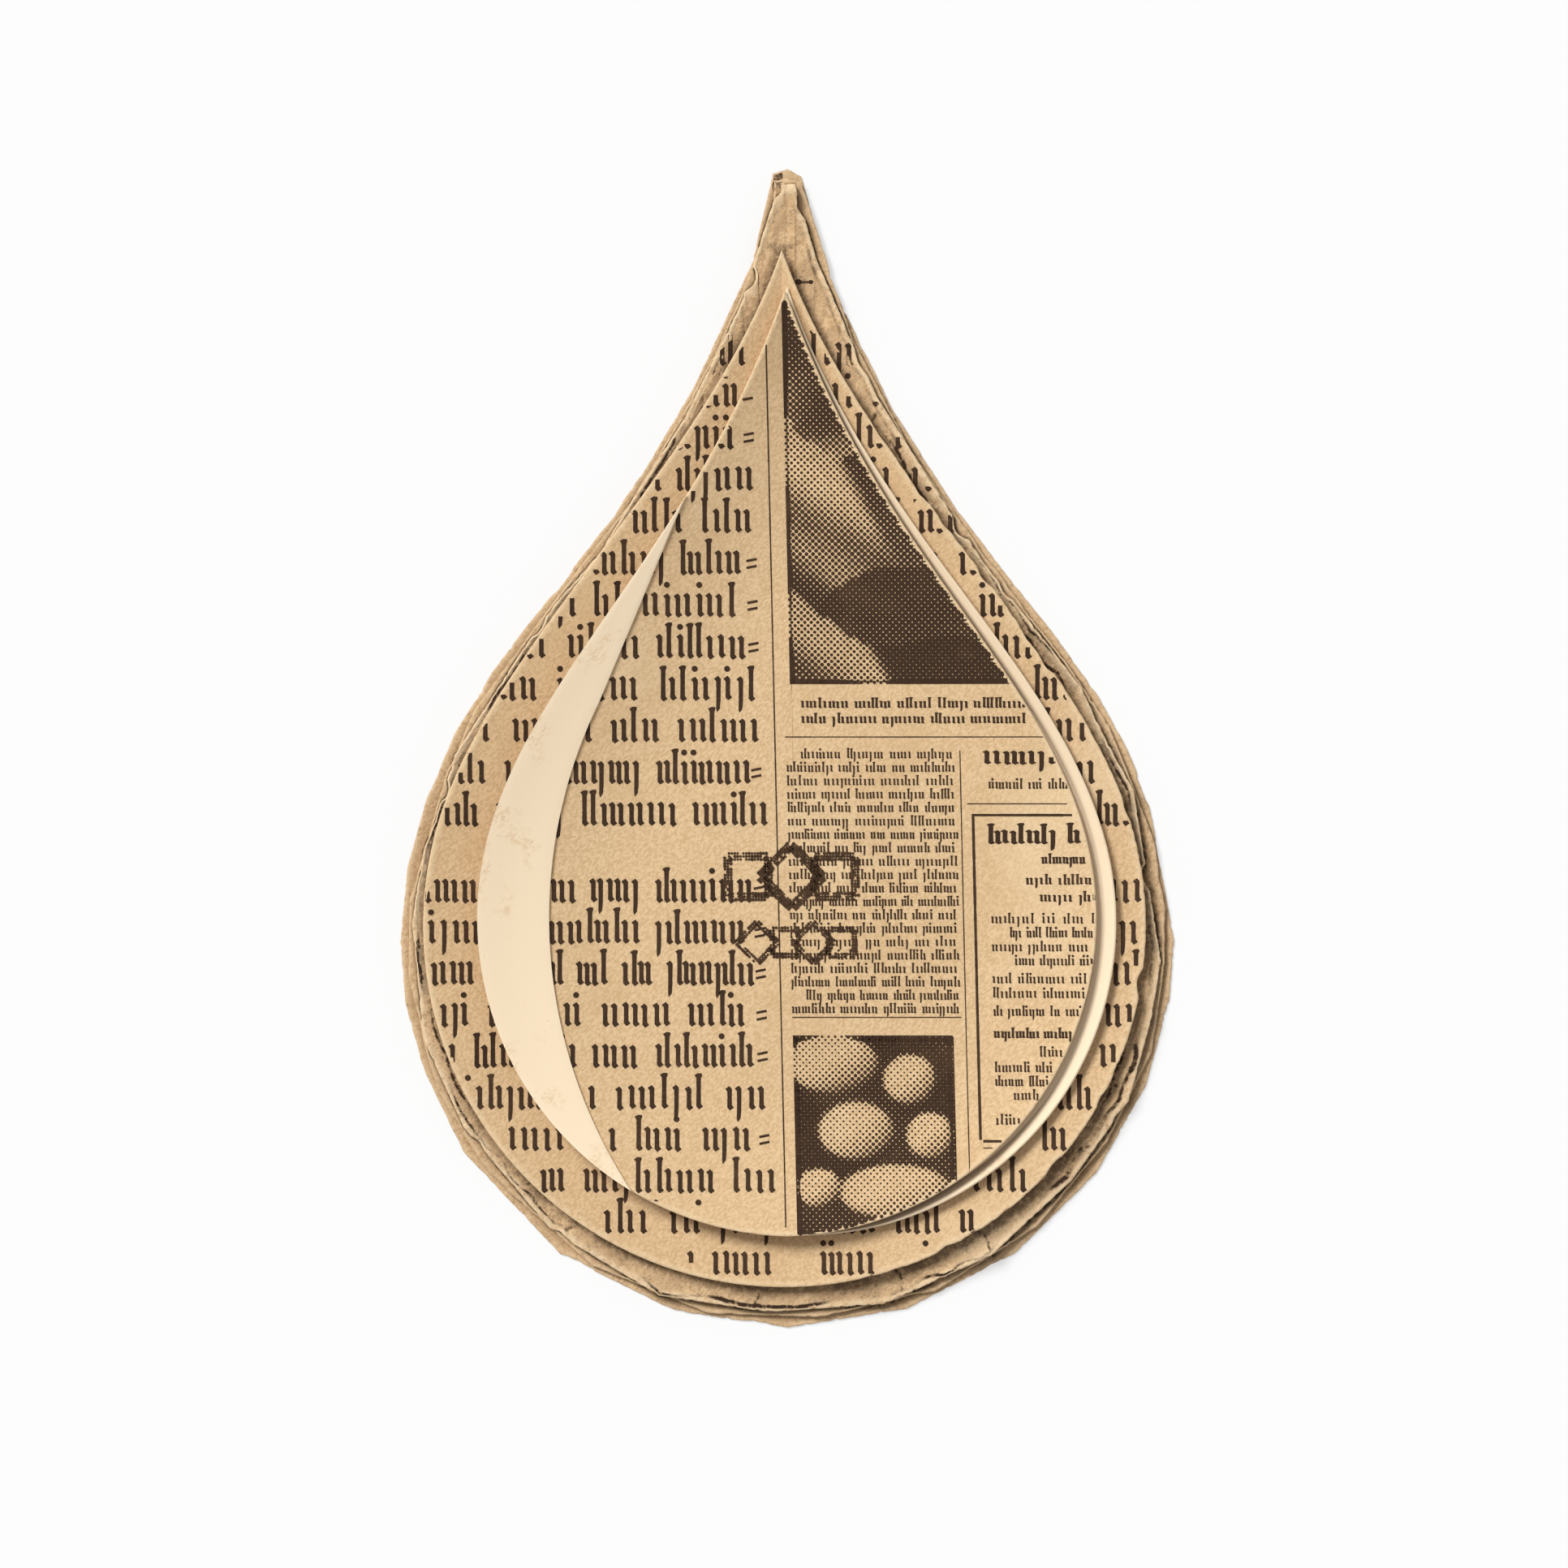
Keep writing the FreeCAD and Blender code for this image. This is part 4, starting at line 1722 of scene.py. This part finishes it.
class Bench:
    """A material under construction."""

    def __init__(self, name: str) -> None:
        """Starts an empty node material.

        Args:
            name: The material's name.
        """
        self.material = bpy.data.materials.new(name)
        self.material.use_nodes = True
        self.tree = self.material.node_tree
        self.tree.nodes.clear()

    def node(
        self,
        kind: str,
        settings: dict[str, object] | None = None,
        values: Sequence[object] | dict[str, object] = (),
        output: int | str = 0,
    ) -> Wire:
        """Adds a node.

        Args:
            kind: The node's type.
            settings: Its settings, which are set first.
            values: Values or wires, in the order of the inputs or by their names.
            output: The output that the wire comes from.

        Returns:
            A wire from that output.
        """
        node = self.tree.nodes.new(kind)
        for name, value in (settings or {}).items():
            setattr(node, name, value)
        pairs = values.items() if isinstance(values, dict) else enumerate(values)
        for key, value in pairs:
            if isinstance(value, Wire):
                self.tree.links.new(value.socket, node.inputs[key])
            else:
                node.inputs[key].default_value = value
        return Wire(self, node.outputs[output])

    def end(self, shader: Wire) -> bpy.types.Material:
        """Makes a shader the material's surface, and gives the material."""
        output = self.tree.nodes.new("ShaderNodeOutputMaterial")
        self.tree.links.new(shader.socket, output.inputs["Surface"])
        return self.material

    def places(self, turn_degrees: float = 0.0, stretch: Colour = (1.0, 1.0, 1.0)) -> Wire:
        """Places on the object, in metres, turned and stretched.

        Args:
            turn_degrees: The turn about +Z.
            stretch: How much finer the pattern is along each axis.

        Returns:
            The places.
        """
        plain = self.node("ShaderNodeTexCoord", output="Object")
        turned = self.node(
            "ShaderNodeMapping",
            {"vector_type": "POINT"},
            {"Vector": plain, "Rotation": Euler((0, 0, math.radians(turn_degrees)))},
        )
        return self.node("ShaderNodeVectorMath", {"operation": "MULTIPLY"}, (turned, stretch))

    def noise(self, places: Wire, size: float, detail: float = 2.0, rough: float = 0.5) -> Wire:
        """Noise of a given grain.

        Args:
            places: Where it is read.
            size: The grain, in millimetres.
            detail: How many finer layers it has.
            rough: How strong they are.

        Returns:
            Values from 0 to 1.
        """
        scale = 1 / (size * MM)
        values = {"Vector": places, "Scale": scale, "Detail": detail, "Roughness": rough}
        return self.node("ShaderNodeTexNoise", {"noise_dimensions": "3D"}, values)

    def mix(self, share: object, first: object, second: object, blend: str = "MIX") -> Wire:
        """Mixes two colours.

        Args:
            share: The second colour's share.
            first: The first colour.
            second: The second colour.
            blend: How they are mixed.

        Returns:
            The mixed colour.
        """
        settings = {"data_type": "RGBA", "blend_type": blend, "clamp_factor": True}
        factor, a, b, result = 0, 6, 7, 2
        values = {factor: share, a: first, b: second}
        return self.node("ShaderNodeMix", settings, values, result)

    def attribute(self, name: str) -> Wire:
        """A number that the mesh carries."""
        return self.node("ShaderNodeAttribute", {"attribute_name": name}, output="Fac")

    def bump(self, height: Wire, depth: float, strength: float = 1.0) -> Wire:
        """A bumped surface direction.

        Args:
            height: The relief, from 0 to 1.
            depth: What a height of 1 measures, in millimetres.
            strength: How much of it counts.

        Returns:
            The direction.
        """
        values = {"Strength": strength, "Distance": depth * MM, "Height": height}
        return self.node("ShaderNodeBump", {}, values, "Normal")

    def surface(self, **values: object) -> bpy.types.Material:
        """Ends the material in a plain surface shader.

        Args:
            **values: The shader's inputs, with _ for spaces.

        Returns:
            The material.
        """
        named = {name.replace("_", " "): value for name, value in values.items()}
        return self.end(self.node("ShaderNodeBsdfPrincipled", {}, named))


@dataclass(frozen=True)
class Newsprint:
    """Old newspaper: yellowed, blotched, with a pressed diagonal grain, painted shade beside the
    leaf above and in the folds, and a partly painted highlight on the rim.
    """

    name: str
    paper: tuple[int, int, int]
    shade: tuple[int, int, int]
    bright: tuple[int, int, int]
    soil_and_shade: tuple[int, int, int]
    gap_width: float = 1.2
    painted_gap_shade: float = 0.0
    speckling: float = 0.0
    edge_wear_and_highlight: float = 0.5
    grain_depth: float = 0.085
    crumple_depth: float = 0.07
    blotching: float = 0.4

    def material(self) -> bpy.types.Material:
        """Builds the finish.

        Returns:
            The material.
        """
        bench = Bench(self.name)
        woven = bench.places(turn_degrees=45.0, stretch=(1.0, 0.55, 1.0))
        plain = bench.places()
        grain = bench.noise(woven, 0.52, detail=2.0, rough=0.6)
        pores = bench.noise(plain, 0.36, detail=2.0, rough=0.7)
        blotch = bench.noise(plain, 17.0, detail=5.0, rough=0.6)
        stain = bench.noise(plain, 42.0, detail=4.0, rough=0.55)
        crumple = bench.noise(plain, 7.5, detail=4.0, rough=0.55)
        speck = bench.noise(plain, 1.3, detail=3.0, rough=0.65)

        paper, shade, soil_and_shade = linear(*self.paper), linear(*self.shade), linear(*self.soil_and_shade)
        bright = linear(*self.bright)
        colour = bench.mix(grain.between(0.36, 0.64), shade, paper)
        colour = bench.mix(pores.between(0.56, 0.72) * 0.5, colour, bright)
        colour = bench.mix(blotch.between(0.48, 0.72) * self.blotching, colour, shade)
        colour = bench.mix(stain.between(0.54, 0.72) * 0.35, colour, bright)
        spots = speck.between(0.69, 0.77) * blotch.between(0.52, 0.6) * 0.55
        colour = bench.mix(spots, colour, soil_and_shade)
        if self.speckling:
            peppered = grain.between(0.5, 0.62) * crumple.between(0.46, 0.58)
            colour = bench.mix(peppered * self.speckling, colour, soil_and_shade)
        # Paler worn fibres along the rim, partly a painted highlight where the edge catches the
        # light.
        worn = bench.attribute("rim").between(0.982, 1.0) * speck.between(0.3, 0.55)
        colour = bench.mix(worn * self.edge_wear_and_highlight, colour, bright)
        # Painted shade on the paper beside the leaf above, wider at the lower right, broken up by
        # noise.
        uneven = 0.55 + 0.45 * blotch.between(0.4, 0.56)
        shade_breakup = 0.5 + 0.5 * speck.between(0.4, 0.54)
        gap_shade_mask = 1 - bench.attribute("cover").between(0.1, self.gap_width)
        colour = bench.mix(gap_shade_mask * uneven * shade_breakup * self.painted_gap_shade, colour, soil_and_shade)
        # Painted shade in the folds' cracks and along the creases.
        crack = (bench.attribute("crack") * shade_breakup).between(0.08, 0.62)
        colour = bench.mix(crack, colour, soil_and_shade)
        relief = grain * self.grain_depth + pores * (self.grain_depth * 0.4)
        relief = relief + crumple * self.crumple_depth
        normal = bench.bump(relief, 1.0)
        roughness = 0.86 + 0.1 * grain
        return bench.surface(
            Base_Color=colour, Roughness=roughness, Normal=normal, Specular_IOR_Level=0.2
        )


@dataclass(frozen=True)
class BlankPaper:
    """Smooth pale paper with faint rubbed patches, and, where asked, a painted shadow beside the
    leaf above.
    """

    name: str
    paper: tuple[int, int, int] = (252, 230, 197)
    rubbed: tuple[int, int, int] = (233, 200, 157)
    rubbing: float = 0.75
    painted_shade: tuple[int, int, int] = (92, 66, 43)
    gap_width: float = 1.9
    painted_gap_shade: float = 0.0

    def material(self) -> bpy.types.Material:
        """Builds the finish.

        Returns:
            The material.
        """
        bench = Bench(self.name)
        plain = bench.places()
        patch = bench.noise(plain, 15.0, detail=4.0, rough=0.6)
        grit = bench.noise(bench.places(45.0, (1.0, 0.6, 1.0)), 0.7, detail=2.0, rough=0.7)
        rub = patch.between(0.55, 0.68) * grit.between(0.42, 0.6)
        specks = grit.between(0.69, 0.74) * 0.6
        colour = bench.mix(rub * self.rubbing, linear(*self.paper), linear(*self.rubbed))
        colour = bench.mix(specks, colour, linear(*self.rubbed))
        # Painted shadow of the leaf above, beside its edge.
        if self.painted_gap_shade:
            gap_shade_mask = 1 - bench.attribute("cover").between(0.0, self.gap_width)
            colour = bench.mix(gap_shade_mask * self.painted_gap_shade, colour, linear(*self.painted_shade))
        normal = bench.bump(grit * 0.02 + patch * 0.06, 1.0)
        roughness = 0.62 + 0.2 * rub
        return bench.surface(
            Base_Color=colour, Roughness=roughness, Normal=normal, Specular_IOR_Level=0.25
        )


@dataclass(frozen=True)
class Ink:
    """Brown-black printing ink that has sunk into the paper unevenly."""

    name: str = "printing_ink"
    full: tuple[int, int, int] = (52, 35, 22)
    worn: tuple[int, int, int] = (108, 80, 54)

    def material(self) -> bpy.types.Material:
        """Builds the finish.

        Returns:
            The material.
        """
        bench = Bench(self.name)
        plain = bench.places()
        grit = bench.noise(plain, 0.5, detail=3.0, rough=0.7)
        wear = bench.noise(plain, 11.0, detail=3.0, rough=0.6)
        grain = bench.noise(bench.places(45.0, (1.0, 0.5, 1.0)), 0.75, detail=3.0, rough=0.6)
        tone = bench.attribute("tone")
        thin = grit.between(0.5, 0.75) * 0.4 + wear.between(0.5, 0.75) * 0.2
        share = thin + (1 - tone) * 0.8
        colour = bench.mix(share, linear(*self.full), linear(*self.worn))
        normal = bench.bump(grain * 0.06, 1.0)
        roughness = 0.78 + 0.15 * grit
        return bench.surface(
            Base_Color=colour, Roughness=roughness, Normal=normal, Specular_IOR_Level=0.25
        )


# The studio


@dataclass
class Studio:
    """A pale floor, soft light from the upper left, and a camera that looks straight down."""

    view_width: float = 347.8
    middle_x: float = -0.72
    middle_y: float = -7.92
    camera_height: float = 2.4
    floor_size: float = 6.0
    floor_glow: float = 0.24
    sky: float = 0.36
    sensor: float = 36.0

    def camera(self) -> None:
        """Sets the camera over the middle of the picture."""
        data = bpy.data.cameras.new("camera")
        data.sensor_width = self.sensor
        data.lens = self.sensor * self.camera_height / (self.view_width * MM)
        data.clip_end = 20.0
        eye = bpy.data.objects.new("camera", data)
        eye.location = (self.middle_x * MM, self.middle_y * MM, self.camera_height)
        bpy.context.scene.collection.objects.link(eye)
        bpy.context.scene.camera = eye

    def sun(self, name: str, towards: Vector, strength: float, angle: float) -> None:
        """Adds a distant lamp.

        Args:
            name: Its name.
            towards: From the object to the lamp.
            strength: Its power on a face that it meets squarely, where 1 shows a colour
                as it is written.
            angle: How wide it looks, in degrees.
        """
        data = bpy.data.lights.new(name, "SUN")
        data.energy = strength * math.pi
        data.angle = math.radians(angle)
        lamp = bpy.data.objects.new(name, data)
        lamp.rotation_euler = towards.to_track_quat("Z", "Y").to_euler()
        bpy.context.scene.collection.objects.link(lamp)

    def lights(self) -> None:
        """Adds the key, a weak fill and an even sky."""
        self.sun("key", Vector((-0.62, 0.62, 0.85)), strength=0.96, angle=24.0)
        self.sun("fill", Vector((0.7, -0.3, 0.9)), strength=0.1, angle=90.0)
        world = bpy.data.worlds.new("studio")
        world.use_nodes = True
        tree = world.node_tree
        tree.nodes.clear()
        path = tree.nodes.new("ShaderNodeLightPath")
        seen = tree.nodes.new("ShaderNodeMath")
        seen.operation = "MAXIMUM"
        tree.links.new(path.outputs["Is Camera Ray"], seen.inputs[0])
        tree.links.new(path.outputs["Is Glossy Ray"], seen.inputs[1])
        both = tree.nodes.new("ShaderNodeMath")
        both.operation = "MAXIMUM"
        tree.links.new(seen.outputs[0], both.inputs[0])
        tree.links.new(path.outputs["Is Transmission Ray"], both.inputs[1])
        level = tree.nodes.new("ShaderNodeMapRange")
        level.inputs["To Min"].default_value = self.sky
        level.inputs["To Max"].default_value = 1.0
        tree.links.new(both.outputs[0], level.inputs[0])
        sky = tree.nodes.new("ShaderNodeBackground")
        tree.links.new(level.outputs[0], sky.inputs["Strength"])
        output = tree.nodes.new("ShaderNodeOutputWorld")
        tree.links.new(sky.outputs[0], output.inputs["Surface"])
        bpy.context.scene.world = world

    def floor(self) -> None:
        """Lays a pale floor, which catches the shadow and is open to light from below."""
        half = self.floor_size / 2
        low = -0.02 * MM
        ends = [(-half, -half), (half, -half), (half, half), (-half, half)]
        corners = [(x, y, low) for x, y in ends]
        mesh = bpy.data.meshes.new("floor")
        mesh.from_pydata(corners, [], [(0, 1, 2, 3)])
        floor = bpy.data.objects.new("floor", mesh)
        bpy.context.scene.collection.objects.link(floor)
        bench = Bench("floor_paint")
        ray = bench.node("ShaderNodeLightPath", output="Is Camera Ray")
        paint = bench.node("ShaderNodeBsdfDiffuse", {}, {"Color": linear(243, 243, 243)})
        strength = ray * self.floor_glow
        glow = bench.node("ShaderNodeEmission", {}, {"Color": (1, 1, 1, 1), "Strength": strength})
        both = bench.node("ShaderNodeAddShader", {}, (paint, glow))
        under = bench.node("ShaderNodeNewGeometry", output="Backfacing")
        open_share = under.math("MAXIMUM", 1 - ray)
        clear = bench.node("ShaderNodeBsdfTransparent")
        shader = bench.node("ShaderNodeMixShader", {}, (open_share, both, clear))
        mesh.materials.append(bench.end(shader))

    def set_up(self) -> None:
        """Sets the camera, the lights and the floor."""
        self.camera()
        self.lights()
        self.floor()
        bpy.context.scene.view_settings.view_transform = "Standard"


# The ornament


class Ornament:
    """The six leaves, the crescent and the print."""

    def __init__(self) -> None:
        """Takes every leaf's place from the frame."""
        back = Drop.from_node("back_leaf")
        middle_margin, border_margin = 1.3, 2.2
        self.front = FrontLeaf(
            "front_leaf",
            "front_newsprint",
            Drop.from_node(
                "front_leaf", FrontLeaf.trim_width, lean=-2.2, bulb_pull=0.56, tip_pull=0.87
            ),
            Curl(self.base("front_leaf"), 5.6),
            rings=56,
            dents=0.05,
            seed=5,
        )
        self.rim_leaf = RimLeaf(
            "rim_leaf",
            "rim_newsprint",
            Drop.from_node("rim_leaf", lean=-3.6, bulb_pull=0.61, tip_pull=0.84),
            Curl(self.base("rim_leaf"), 3.2),
            dents=0.04,
            burr=0.04,
            seed=6,
            cover=self.front.table(),
        )
        self.text = TornLeaf(
            "text_leaf",
            "text_newsprint",
            Drop.from_node("text_leaf", lean=-0.6, bulb_pull=0.53, tip_pull=0.65),
            Curl(self.base("text_leaf"), 3.3),
            rings=56,
            seed=4,
        )
        self.border = CrumpledLeaf(
            "border_leaf",
            "border_newsprint",
            self.inset(back, border_margin),
            Curl(self.base("border_leaf"), 1.3),
            rings=44,
            shown_from=0.84,
            turn=-3,
            wander=1.3,
            phase=2,
            burr=0.16,
            bite=2.0,
            spacing=0.6,
            tip_width=3.4,
            crease_depth=0.42,
            folds=self.border_folds(),
            creases=(
                Crease(-127, 0.8, 7.0),
                Crease(-137, 1.5, 5.0),
                Crease(-94.8, 0.2, 4.2, depth=-0.3),
                Crease(-71.5, 0.6, 7.0),
                Crease(-56.4, 1.0, 8.0, depth=-0.35),
                Crease(-24, 3.0, 8.0),
                Crease(152, 1.0, 5.0),
                Crease(80.5, 2.0, 6.0, depth=-0.35),
                Crease(99, 1.5, 6.0),
            ),
            seed=3,
            cover=self.text.table(),
        )
        self.middle = CrumpledLeaf(
            "middle_leaf",
            "middle_newsprint",
            self.inset(back, middle_margin),
            Curl(self.base("middle_leaf"), 0.6),
            rings=16,
            shown_from=0.92,
            turn=5,
            crease_depth=0.1,
            seed=2,
            cover=self.border.table(),
        )
        self.back = CrumpledLeaf(
            "back_leaf",
            "back_newsprint",
            back,
            Curl(0.0, 0.0),
            rings=24,
            shown_from=0.92,
            wander=0.0,
            crease_depth=0.0,
            dents=0.0,
            seed=1,
            cover=self.border.table(),
        )
        self.crescent = Crescent(self.front)

    def border_folds(self) -> tuple[Fold, ...]:
        """The folds of the border leaf, clockwise from its tip."""
        return (
            Fold(1.9, 76, 89.5, 0.45, wander=0.3, crack_width=0.5),
            Fold(3.6, 62, 84, 0.35),
            Fold(1.5, 44, 74, 0.4),
            Fold(3.2, 40, 60, 0.3),
            Fold(1.4, 12, 36, 0.45),
            Fold(1.9, -12, 16, 0.5, crack_width=0.6),
            Fold(3.6, 0, 26, 0.35),
            Fold(2.4, -48, -10, 0.6, wander=0.9, crack_width=0.6),
            Fold(4.9, -38, -16, 0.55, wander=0.9, crack_width=0.45),
            Fold(1.2, -76, -52, 0.35),
            Fold(1.4, -116, -80, 0.3, crack_width=0.45),
            Fold(1.7, -160, -124, 0.35),
            Fold(3.1, -176, -148, 0.3),
            Fold(1.2, 152, 192, 0.4, crack_width=0.5),
            Fold(1.5, 126, 156, 0.4),
            Fold(3.1, 118, 172, 0.35, wander=0.9),
            Fold(1.3, 93, 126, 0.4, wander=0.3),
            Fold(3.0, 94, 122, 0.35, wander=0.4),
        )

    def base(self, node: str) -> float:
        """The height of a node's lowest point, in millimetres."""
        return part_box(node)[0].z / MM

    def inset(self, outer: Drop, margin: float) -> Drop:
        """A drop inside another one, by an even margin."""
        return Drop(outer.heart_x, outer.heart_y, outer.radius - margin, outer.rise - margin)

    def finishes(self) -> dict[str, bpy.types.Material]:
        """The leaves' materials, by node."""
        # The gap settings paint shade beside the leaf above: beside the border leaf on the lower
        # leaves, beside the text leaf on the border leaf.
        deep = Newsprint(
            "shaded_newsprint",
            paper=(212, 178, 136),
            shade=(178, 142, 103),
            bright=(236, 207, 166),
            soil_and_shade=(58, 40, 27),
            gap_width=1.5,
            painted_gap_shade=0.98,
            speckling=0.3,
        ).material()
        worn = Newsprint(
            "crumpled_newsprint",
            paper=(224, 191, 148),
            shade=(194, 158, 117),
            bright=(242, 216, 177),
            soil_and_shade=(58, 40, 27),
            gap_width=5.0,
            painted_gap_shade=0.7,
            speckling=0.5,
            edge_wear_and_highlight=0.7,
            grain_depth=0.15,
            crumple_depth=0.25,
        ).material()
        printed = Newsprint(
            "text_newsprint",
            paper=(226, 193, 150),
            shade=(206, 171, 127),
            bright=(240, 214, 174),
            soil_and_shade=(120, 90, 62),
        ).material()
        best = Newsprint(
            "front_newsprint",
            paper=(229, 197, 154),
            shade=(209, 175, 131),
            bright=(242, 216, 176),
            soil_and_shade=(140, 108, 76),
        ).material()
        # The rim leaf gets a painted shadow beside the front leaf's edge.
        rim = BlankPaper("blank_rim", paper=(247, 224, 191), rubbing=0.5, painted_gap_shade=0.75)
        return {
            "back_leaf": deep,
            "middle_leaf": deep,
            "border_leaf": worn,
            "text_leaf": printed,
            "rim_leaf": rim.material(),
            "front_leaf": best,
        }

    def build(self) -> None:
        """Builds, dresses and prints every piece."""
        finishes = self.finishes()
        pieces = {}
        leaves = (self.back, self.middle, self.border, self.text, self.rim_leaf, self.front)
        for leaf in leaves:
            pieces[leaf.node] = leaf.make(finishes[leaf.node])
        self.crescent.make(BlankPaper("blank_card").material())
        self.set_print(pieces)

    def set_print(self, pieces: dict[str, bpy.types.Object]) -> None:
        """Prints the leaves.

        Args:
            pieces: The finished leaves, by node.
        """
        page = NewspaperPage()
        press = Press(TypeCase(), Ink().material())
        front_rim, text_rim, border_rim = (
            leaf.table() for leaf in (self.front, self.text, self.border)
        )
        flank_foot = 45.0
        margin = page.behind()
        margin.keep(
            lambda x, y: (text_rim.beyond(x, y) > -0.6)
            & (border_rim.beyond(x, y) < -1.4)
            & (y > flank_foot)
        )
        press.print_on(pieces["border_leaf"], margin, "border_leaf_print")
        behind = page.behind()
        tucked_in = 8.0
        behind.keep(
            lambda x, y: (front_rim.beyond(x, y) > -tucked_in) & (text_rim.beyond(x, y) < 0.0)
        )
        press.print_on(pieces["text_leaf"], behind, "text_leaf_print")
        front = page.front()
        front.keep(
            lambda x, y: (front_rim.beyond(x, y) < -0.2) & ~self.crescent.covers(x, y, -0.4)
        )
        press.print_on(pieces["front_leaf"], front, "front_leaf_print")
        stamp = page.stamp()
        above_print = 0.08
        press.print_on(
            pieces["front_leaf"], stamp, "front_leaf_stamp", above_print
        )
        press.case.empty()


def main() -> None:
    """Builds the ornament and its studio, and logs how many faces, marks and triangles the pieces
    have.
    """
    logging.basicConfig(level=logging.INFO, format="%(name)s: %(message)s")
    Ornament().build()
    Studio().set_up()


if __name__ == "__main__":
    main()
